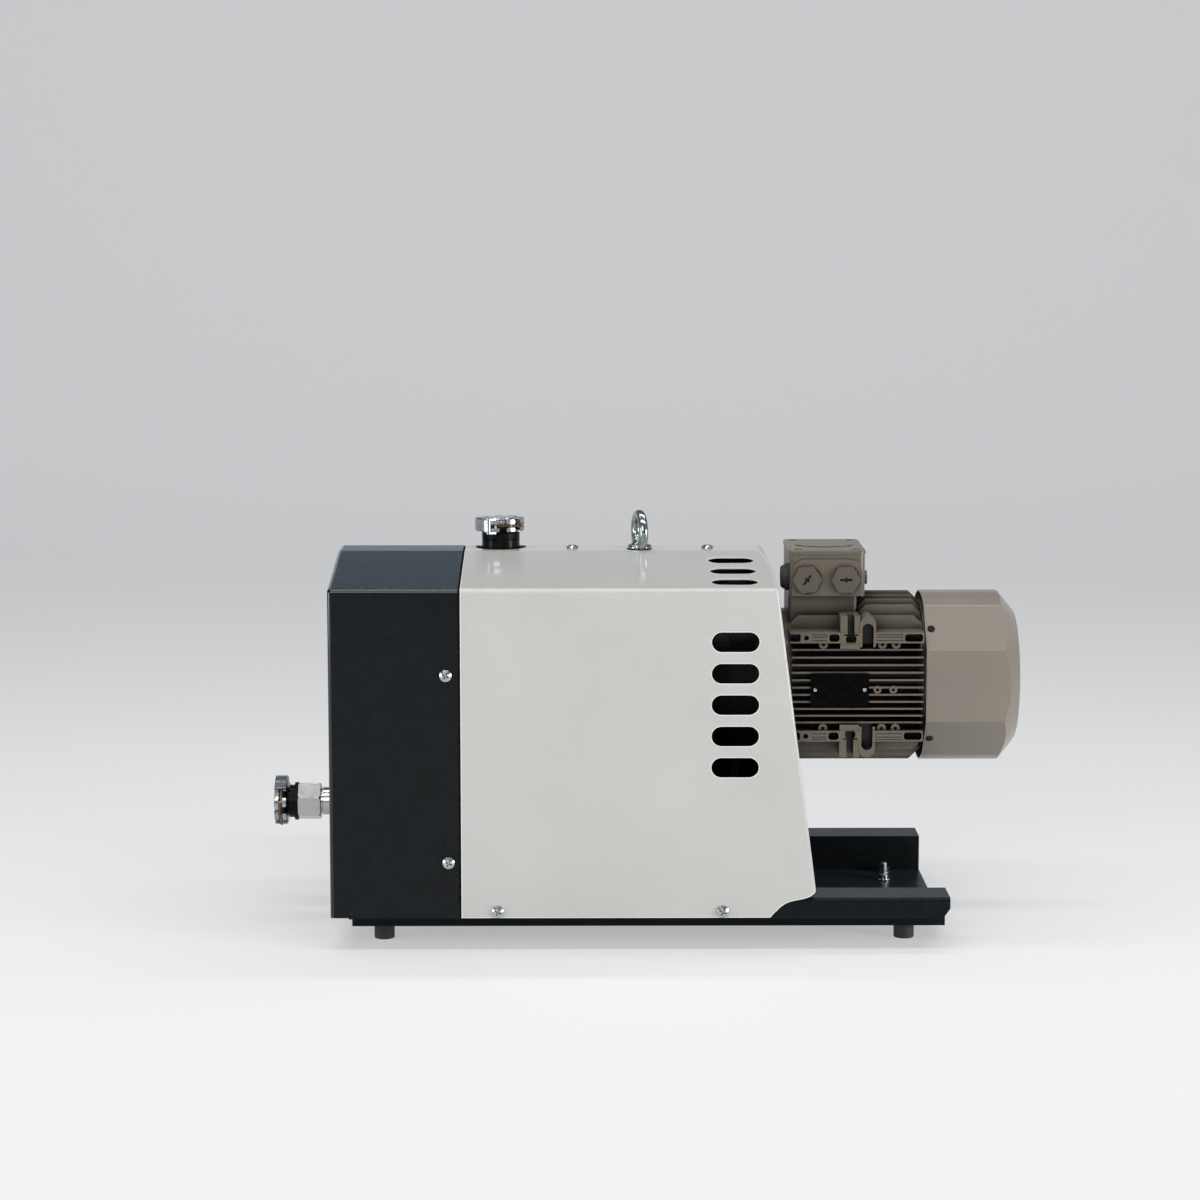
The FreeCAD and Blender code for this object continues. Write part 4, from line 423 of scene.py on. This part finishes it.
# The zinc is darkened in its recesses, such as the screws' crosses, as painted shade.
zinc = plated("bright_zinc", (0.36, 0.40, 0.395), (0.60, 0.645, 0.63), rough=(0.16, 0.26), recess_shade=0.95)
dressed("rubber_feet", black_rubber, edge=0.0004)
dressed("foot_nuts", zinc, edge=0.0003)
dressed("earth_stud", zinc, edge=0.0003)

# Supports and pump head
# Grey iron castings on two plain brackets: chamber, side plates, gear case and bell housing.
# Their skin is as cast, with machined faces only where they meet.


def casting(name, dark, light, rough=(0.5, 0.7), grain=420.0, depth=0.0003):
    """As-cast metal: mottled tone and a sandy skin."""
    material, nodes, links, shader = material_tree(name)
    mottle = noise_at(nodes, links, scale=35.0, detail=6.0)
    sand = noise_at(nodes, links, grain, detail=4.0)
    shader.inputs["Metallic"].default_value = 0.6
    links.new(ramp_of(nodes, links, mottle, dark, light), shader.inputs["Base Color"])
    links.new(range_of(nodes, links, sand, *rough), shader.inputs["Roughness"])
    bump_from(nodes, links, shader, sand, depth, strength=0.6)
    return material


grey_iron = casting("grey_iron", (0.004, 0.004, 0.004), (0.008, 0.008, 0.0077))
for node in ("claw_cylinder", "outer_side_plate", "inner_side_plate", "gear_case", "bell_housing",
             "support_brackets"):
    dressed(node, grey_iron, edge=0.0005)
dressed("oil_plugs", zinc, edge=0.0004)

# Rotors, shafts and gears
# Ground steel claws on two shafts, held in step by the timing gears; sealed bearings carry them.
# None of it shows from outside; all the steel takes one turned finish, and the seals black rubber.


def ground_steel(name, dark, light, direction=(1, 30, 30), rough=(0.22, 0.42), depth=0.00003):
    """Ground or turned steel: fine lines across the stretch direction and a soft sheen."""
    material, nodes, links, shader = material_tree(name)
    shader.inputs["Metallic"].default_value = 1.0
    lines = noise_at(nodes, links, scale=120.0, detail=3.0, stretch=direction)
    links.new(ramp_of(nodes, links, lines, dark, light), shader.inputs["Base Color"])
    links.new(range_of(nodes, links, lines, *rough), shader.inputs["Roughness"])
    bump_from(nodes, links, shader, lines, depth, strength=0.2)
    return material


turned_steel = ground_steel("turned_steel", (0.42, 0.42, 0.43), (0.60, 0.60, 0.61), direction=(30, 1, 1))
for node in ("upper_claw", "lower_claw", "drive_shaft", "idler_shaft", "drive_gear", "idler_gear",
             "pump_bearing_rings", "motor_bearing_rings", "motor_rotor", "stator_core"):
    coat_node(node, turned_steel)
coat_node("shaft_seals", black_rubber)

# Coupling and fans
# Two aluminium jaw hubs with an elastic spider, and the cooling fan behind the slots.
# The motor's own fan is moulded and turns under the cowl.
cast_aluminium = casting("cast_aluminium", (0.30, 0.30, 0.31), (0.42, 0.42, 0.42), rough=(0.35, 0.5),
                         grain=700.0, depth=0.0001)
spider_elastomer = rubber("spider_elastomer", tone=0.03, rough=(0.4, 0.5))
fan_plastic = rubber("fan_plastic", tone=0.03, rough=(0.4, 0.55))
fan_nylon = rubber("fan_nylon", tone=0.003, rough=(0.45, 0.6))
dressed("coupling_hubs", cast_aluminium, edge=0.0003)
dressed("cooling_fan", fan_nylon, edge=0.0003)
dressed("coupling_spider", spider_elastomer, edge=0.0)
dressed("motor_fan", fan_plastic, edge=0.0003)

# Silencer and elbow
# A welded steel can in the dark hood, with the exhaust pipe coming down into its boss.
# Both have a dull heat-proof black coat.
heat_black = powder_coat("heat_proof_black", (0.010, 0.010, 0.010), (0.02, 0.02, 0.02), rough=(0.6, 0.75))
for node in ("exhaust_silencer", "exhaust_elbow"):
    dressed(node, heat_black, edge=0.0004)

# Main cover
# Sheet steel cover in light grey, folded over the pump, with round-ended slots punched in it.
# Its coat has a fine grain and a soft gloss; inside it is lined with dark acoustic foam.


def foam(name, tone):
    """Open-cell foam: very dark, matt, with small round pores, darker at their centres as painted shade."""
    pores_per_metre = 420.0
    pore_depth = 0.0006
    pore_shade_tone = tone * 0.4
    material, nodes, links, shader = material_tree(name)
    cells = nodes.new("ShaderNodeTexVoronoi")
    cells.inputs["Scale"].default_value = pores_per_metre
    place = nodes.new("ShaderNodeTexCoord")
    links.new(place.outputs["Object"], cells.inputs["Vector"])
    pore = cells.outputs["Distance"]
    skin = ramp_of(nodes, links, pore, (pore_shade_tone,) * 3, (tone,) * 3, low=0.1, high=0.6)
    links.new(skin, shader.inputs["Base Color"])
    links.new(range_of(nodes, links, pore, 0.98, 0.85, low=0.0, high=0.6), shader.inputs["Roughness"])
    shader.inputs["Specular IOR Level"].default_value = 0.05
    bump_from(nodes, links, shader, pore, pore_depth, strength=0.6)
    return material


def lined(piece, lining, wall_y, roof_z, end_x, end_side):
    """Gives the lining to the faces that look inwards: from the long walls, the roof and the end wall.

    A face looks inwards where its normal points against its own side: -y on the +y wall, down under the
    roof, and away from the end wall at end_x, whose outside faces end_side along X.
    """
    against = -0.7
    mesh = piece.data
    mesh.materials.append(lining)
    count = len(mesh.polygons)
    centre = np.empty(count * 3)
    normal = np.empty(count * 3)
    mesh.polygons.foreach_get("center", centre)
    mesh.polygons.foreach_get("normal", normal)
    centre = centre.reshape(-1, 3)
    normal = normal.reshape(-1, 3)
    wall = (normal[:, 1] * np.sign(centre[:, 1]) < against) & (np.abs(centre[:, 1]) > wall_y)
    roof = (normal[:, 2] < against) & (centre[:, 2] > roof_z)
    end = (normal[:, 0] * end_side < against) & (centre[:, 0] * end_side > end_x * end_side)
    mesh.polygons.foreach_set("material_index", (wall | roof | end).astype(np.int32))


black_foam = foam("acoustic_foam", tone=0.012)
# The grey is made paler along outer edges and slot rims as a painted highlight.
light_grey = powder_coat("light_grey_powder", (0.431, 0.427, 0.410), (0.458, 0.454, 0.438),
                         rough=(0.34, 0.46), grain=500.0, depth=0.00006, speck=0.05, shine=0.4, polish=0.8,
                         rim=0.0014, edge_highlight_gain=2.1, worn=0.3)
cover = dressed("main_cover", light_grey, edge=0.0007, smooth=44.0, segments=3)
# The inner faces of the long walls lie beyond lined_wall, and those of the roof above lined_roof.
lined_wall = 0.1735
lined_roof = 0.3655
lined(cover, black_foam, wall_y=lined_wall, roof_z=lined_roof, end_x=0.125, end_side=1)

# Acoustic hood
# The same folded sheet in anthracite over the exhaust end, lined with foam inside.
# Its end wall has two fields of louvre slots for the warm air.
anthracite = powder_coat("anthracite_powder", (0.0034, 0.0040, 0.0045), (0.0050, 0.0058, 0.0064),
                         rough=(0.22, 0.34), grain=600.0, depth=0.00014, speck=0.004, shine=0.06, polish=0.16,
                         tint=cold_gloss, clouds=60.0, bloom=0.14, worn=0.75)
hood = dressed("acoustic_hood", anthracite, edge=0.0005, smooth=44.0, segments=3)
lined(hood, black_foam, wall_y=lined_wall, roof_z=lined_roof, end_x=-0.3150, end_side=-1)

# Seam seal
# Strip of the lining's foam glued inside, behind the seam of hood and cover, to keep the noise in.
# It is 16 mm wide and 3 mm thick, stops above the tray's rims and goes with the cover.


def casing_line(inset):
    """Section of the casing moved inwards by inset: (y, z) points from rim to rim over the ridge.

    Each half runs up the wall, cuts the corner at the eaves 5 mm before and after it, and follows the facet
    to the edge of the ridge strip.
    """
    wall, eaves, ridge, ridge_edge = 0.176 - inset, 0.3689 - inset, 0.3890 - inset, 0.024
    rim, cut = 0.058, 0.005
    facet = np.array([ridge_edge - wall, ridge - eaves])
    facet *= cut / np.linalg.norm(facet)
    half = np.array([[wall, rim], [wall, eaves - cut], [wall + facet[0], eaves + facet[1]],
                     [ridge_edge, ridge]])
    return np.concatenate([half * (-1, 1), half[::-1]])


def band_grid(left, right, outer, inner):
    """Closed band from left to right along X between two lines of (y, z) points, its ends pointed."""
    sides = [np.insert(line, 0, at, axis=1) for at, line in
             ((left, outer), (right, outer), (right, inner), (left, inner))]
    grid = np.stack(sides, 1)
    caps = grid[[0, -1]].mean(1, keepdims=True).repeat(4, 1)
    return np.concatenate([caps[:1], grid, caps[1:]])


def welded(mesh, parts, smooth):
    """Fills the mesh with the parts, their doubles merged and their normals turned outwards."""
    work = bmesh.new()
    for part in parts:
        work.from_mesh(part)
    bmesh.ops.remove_doubles(work, verts=work.verts, dist=same_place)
    bmesh.ops.recalc_face_normals(work, faces=work.faces)
    for face in work.faces:
        face.smooth = smooth
    work.to_mesh(mesh)
    work.free()


seal_left, seal_right = -0.1957, -0.1797
seal_outer, seal_inner = 0.0017, 0.0047
seal_grid = band_grid(seal_left, seal_right, casing_line(seal_outer), casing_line(seal_inner))
seal_mesh = grid_mesh("seam_seal", seal_grid, wrap_v=True)
welded(seal_mesh, [seal_mesh], smooth=False)
seal = placed("seam_seal", seal_mesh, black_foam)
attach(seal, body_of["main_cover"])

# Casing screws
# Zinc-plated steel pan-head screws with a cross recess, turned in by hand from outside.
# Two hold the hood and two the cover on each long side, and two more sit on the ridge.
dressed("hood_screws", zinc, edge=0.0002)
dressed("cover_screws", zinc, edge=0.0002)

# Lifting eye
# Forged eye, zinc plated, screwed down through the ridge into the bell housing.
# Its ring is thicker towards the foot, which runs up from the collar in a hollow curve.


def turned_points(profile, centre, around=64):
    """Grid of a surface of revolution: points (r, z) of the profile swept round a vertical line."""
    profile = np.asarray(profile)
    angle = np.linspace(0.0, 2 * math.pi, around, endpoint=False)
    grid = np.empty((len(profile), around, 3))
    grid[..., 0] = centre[0] + profile[:, :1] * np.cos(angle)
    grid[..., 1] = centre[1] + profile[:, :1] * np.sin(angle)
    grid[..., 2] = centre[2] + profile[:, 1:]
    return grid


def ring_points(centre, axis, ring, thick_foot, thick_top, across, steps=96, around=40):
    """Grid of a forged ring of the radius ring: an oval section carried round it, its flats a little full.

    Half the thickness in the ring's plane goes from thick_foot at the bottom to thick_top at the top with
    the cosine of the turn; across is half the thickness along the axis.
    """
    axis = np.asarray(axis) / np.linalg.norm(axis)
    up = np.array([0.0, 0.0, 1.0])
    side = np.cross(axis, up)
    turn = np.linspace(0.0, 2 * math.pi, steps, endpoint=False)[:, None, None]
    swing = np.linspace(0.0, 2 * math.pi, around, endpoint=False)[None, :, None]
    thick = (thick_foot + thick_top) / 2 - (thick_foot - thick_top) / 2 * np.cos(turn)
    soften = 0.86
    in_plane = np.sign(np.cos(swing)) * np.abs(np.cos(swing)) ** soften
    sideways = np.sign(np.sin(swing)) * np.abs(np.sin(swing)) ** soften
    outward = np.cos(turn) * up + np.sin(turn) * side
    return np.asarray(centre) + (ring + thick * in_plane) * outward + across * sideways * axis


def eye_profile():
    """Collar with a rounded rim, a hollow curve up to the neck and the shank below, as (r, z) points."""
    collar_flat, rim_width, rim_middle, rim_height = 0.0108, 0.0017, 0.0058, 0.0028
    neck, hollow_width, hollow_foot, hollow_height = 0.0062, 0.0042, 0.0088, 0.0080
    rim = np.linspace(-math.pi / 2, math.pi / 2, 9)
    collar = np.stack([collar_flat + rim_width * np.cos(rim), rim_middle + rim_height * np.sin(rim)], -1)
    curve = np.linspace(0.0, math.pi / 2, 14)
    hollow = np.stack([neck + hollow_width * (1 - np.sin(curve)),
                       hollow_foot + hollow_height * (1 - np.cos(curve))], -1)
    shank = np.array([[0.0, -0.0165], [0.0046, -0.0165], [0.0049, -0.0160], [0.0049, 0.0001],
                      [0.0106, 0.0002], [0.0107, 0.0028]])
    crown = np.array([[0.0030, 0.0171], [0.0, 0.0172]])
    return np.concatenate([shank, collar, hollow, crown])


eye_low, eye_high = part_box("lifting_eye")
eye_middle = (-0.005, -0.008)
shank_length = 0.017
ring_reach = 0.0225
eye_seat = eye_low[2] + shank_length
ring_centre = eye_high[2] - ring_reach
ring_grid = ring_points((*eye_middle, ring_centre), axis=(1.0, 0.22, 0.0), ring=0.0175, thick_foot=0.0060,
                        thick_top=0.0046, across=0.0048)
foot_grid = turned_points(eye_profile(), (*eye_middle, eye_seat))
eye_parts = [grid_mesh("eye_ring", ring_grid, wrap_u=True, wrap_v=True),
             grid_mesh("eye_foot", foot_grid, wrap_v=True)]
eye_mesh = bpy.data.meshes.new("lifting_eye_forged")
welded(eye_mesh, eye_parts, smooth=True)
for part_mesh in eye_parts:
    bpy.data.meshes.remove(part_mesh)
# The eye's zinc is darkened to half in its recesses as painted shade.
forged_zinc = plated("forged_zinc", (0.24, 0.28, 0.27), (0.48, 0.53, 0.51), rough=(0.14, 0.22),
                     tint_scale=60.0, grain=120.0, recess_shade=0.5)
eye = placed("lifting_eye_forged", eye_mesh, forged_zinc)
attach(eye, body_of["lifting_eye"])
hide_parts("lifting_eye")

# Motor
# Die-cast frame with level fins at the sides and upright ones on top, sprayed a satin taupe.
# The plate on its fins is bare black aluminium, held by two rivets.
# The enamel is darkened between the fins and in other recesses as painted shade, and made paler along outer
# edges as a painted highlight.
taupe = powder_coat("taupe_enamel", (0.098, 0.083, 0.061), (0.120, 0.102, 0.076), rough=(0.28, 0.4),
                    grain=450.0, depth=0.0002, shine=0.4, polish=0.06, painted_shade=0.96, reach=0.024, rim=0.0009,
                    edge_highlight_gain=1.5)
dressed("motor_frame", taupe, edge=0.0003)
dressed("motor_front_shield", grey_iron, edge=0.0006)
dressed("motor_rear_shield", taupe, edge=0.0006)
plate_black = plated("black_anodised", (0.004, 0.004, 0.0045), (0.007, 0.007, 0.0078), rough=(0.35, 0.45),
                     tint_scale=200.0)
dressed("rating_plate", plate_black, edge=0.0002)
dressed("plate_rivets", zinc, edge=0.0002)

# Fan cowl
# Cowl pressed from steel sheet, flattened on its sides, with a ring grille in its end.
# It is painted like the motor, a shade paler, and held by four blackened screws.
cowl_paint = powder_coat("cowl_enamel", (0.182, 0.160, 0.134), (0.202, 0.179, 0.151), rough=(0.30, 0.304),
                         grain=90.0, depth=0.0, shine=0.3, polish=0.2)
dressed("fan_cowl", cowl_paint, edge=0.0007, smooth=20.0, segments=3)
blackened_screw = plated("blackened_screw", (0.02, 0.02, 0.02), (0.04, 0.04, 0.04), rough=(0.3, 0.45))
dressed("cowl_screws", blackened_screw, edge=0.0002)

# Terminal box
# Die-cast aluminium box and lid in the motor's enamel, screwed together and to the top of the frame.
# Two moulded hexagon plugs close its front openings, and a dark gland its left one.
dressed("terminal_box", taupe, edge=0.0006)
dressed("terminal_lid", taupe, edge=0.0005)
# The lid screws' zinc is darkened in its recesses as painted shade.
dull_zinc = plated("dull_zinc", (0.10, 0.10, 0.095), (0.17, 0.17, 0.16), rough=(0.35, 0.5), recess_shade=0.9)
dressed("lid_screws", dull_zinc, edge=0.0002)
# The plugs are darkened in their crosses and the hollows round them as painted shade, and made paler on outer
# edges as a painted highlight.
plug_plastic = powder_coat("plug_plastic", (0.076, 0.065, 0.050), (0.092, 0.079, 0.062), rough=(0.3, 0.4),
                           grain=600.0, depth=0.00005, shine=0.4, polish=0.05, painted_shade=0.98, reach=0.006,
                           rim=0.0007, edge_highlight_gain=1.5)
dressed("cable_plugs", plug_plastic, edge=0.0004)
dressed("side_gland", black_rubber, edge=0.0004)

# Inlet and exhaust ports
# Turned steel ports that end in small flanges. The black inlet stands on the pad of the chamber and
# comes through the roof in a rubber ring; at the exhaust a nipple and a hexagon in satin nickel, screwed
# into the silencer, carry the black flange.
port_black = powder_coat("port_black", (0.002, 0.0028, 0.0027), (0.0034, 0.0045, 0.0043), rough=(0.22, 0.3),
                         grain=900.0, depth=0.00003, shine=0.12)
port_rubber = rubber("port_rubber", tone=0.0018, rough=(0.3, 0.45), shine=0.1)
flange_black = rubber("flange_black", tone=0.0018, rough=(0.3, 0.45), shine=0.1)
nickel = ground_steel("satin_nickel", (0.40, 0.395, 0.40), (0.53, 0.525, 0.53), rough=(0.23, 0.27),
                      depth=0.000001)
dressed("inlet_port", port_black, edge=0.0004)
dressed("inlet_grommet", port_rubber, edge=0.0004)
dressed("exhaust_flange", flange_black, edge=0.0004)
dressed("exhaust_hex", nickel, edge=0.0004)
dressed("exhaust_nipple", nickel, edge=0.0003)
dressed("centring_rings", cast_aluminium, edge=0.0003)

# Link clamps
# Polished stainless links with bronze wires between their pins, closed by an over-centre lever.
# A blank flange of the same steel is held in each of them.
# The stainless is darkened in its recesses as painted shade.
polished = plated("polished_stainless", (0.32, 0.33, 0.36), (0.50, 0.51, 0.55), rough=(0.14, 0.26),
                  tint_scale=90.0, grain=200.0, depth=0.0001, recess_shade=0.9)
bronze = plated("bronze_wire", (0.16, 0.09, 0.045), (0.28, 0.17, 0.085), rough=(0.25, 0.4), tint_scale=300.0)
for node in ("clamp_links", "blank_flanges", "inlet_clamp_lever", "exhaust_clamp_lever"):
    dressed(node, polished, edge=0.0003)
dressed("clamp_wires", bronze, edge=0.0)
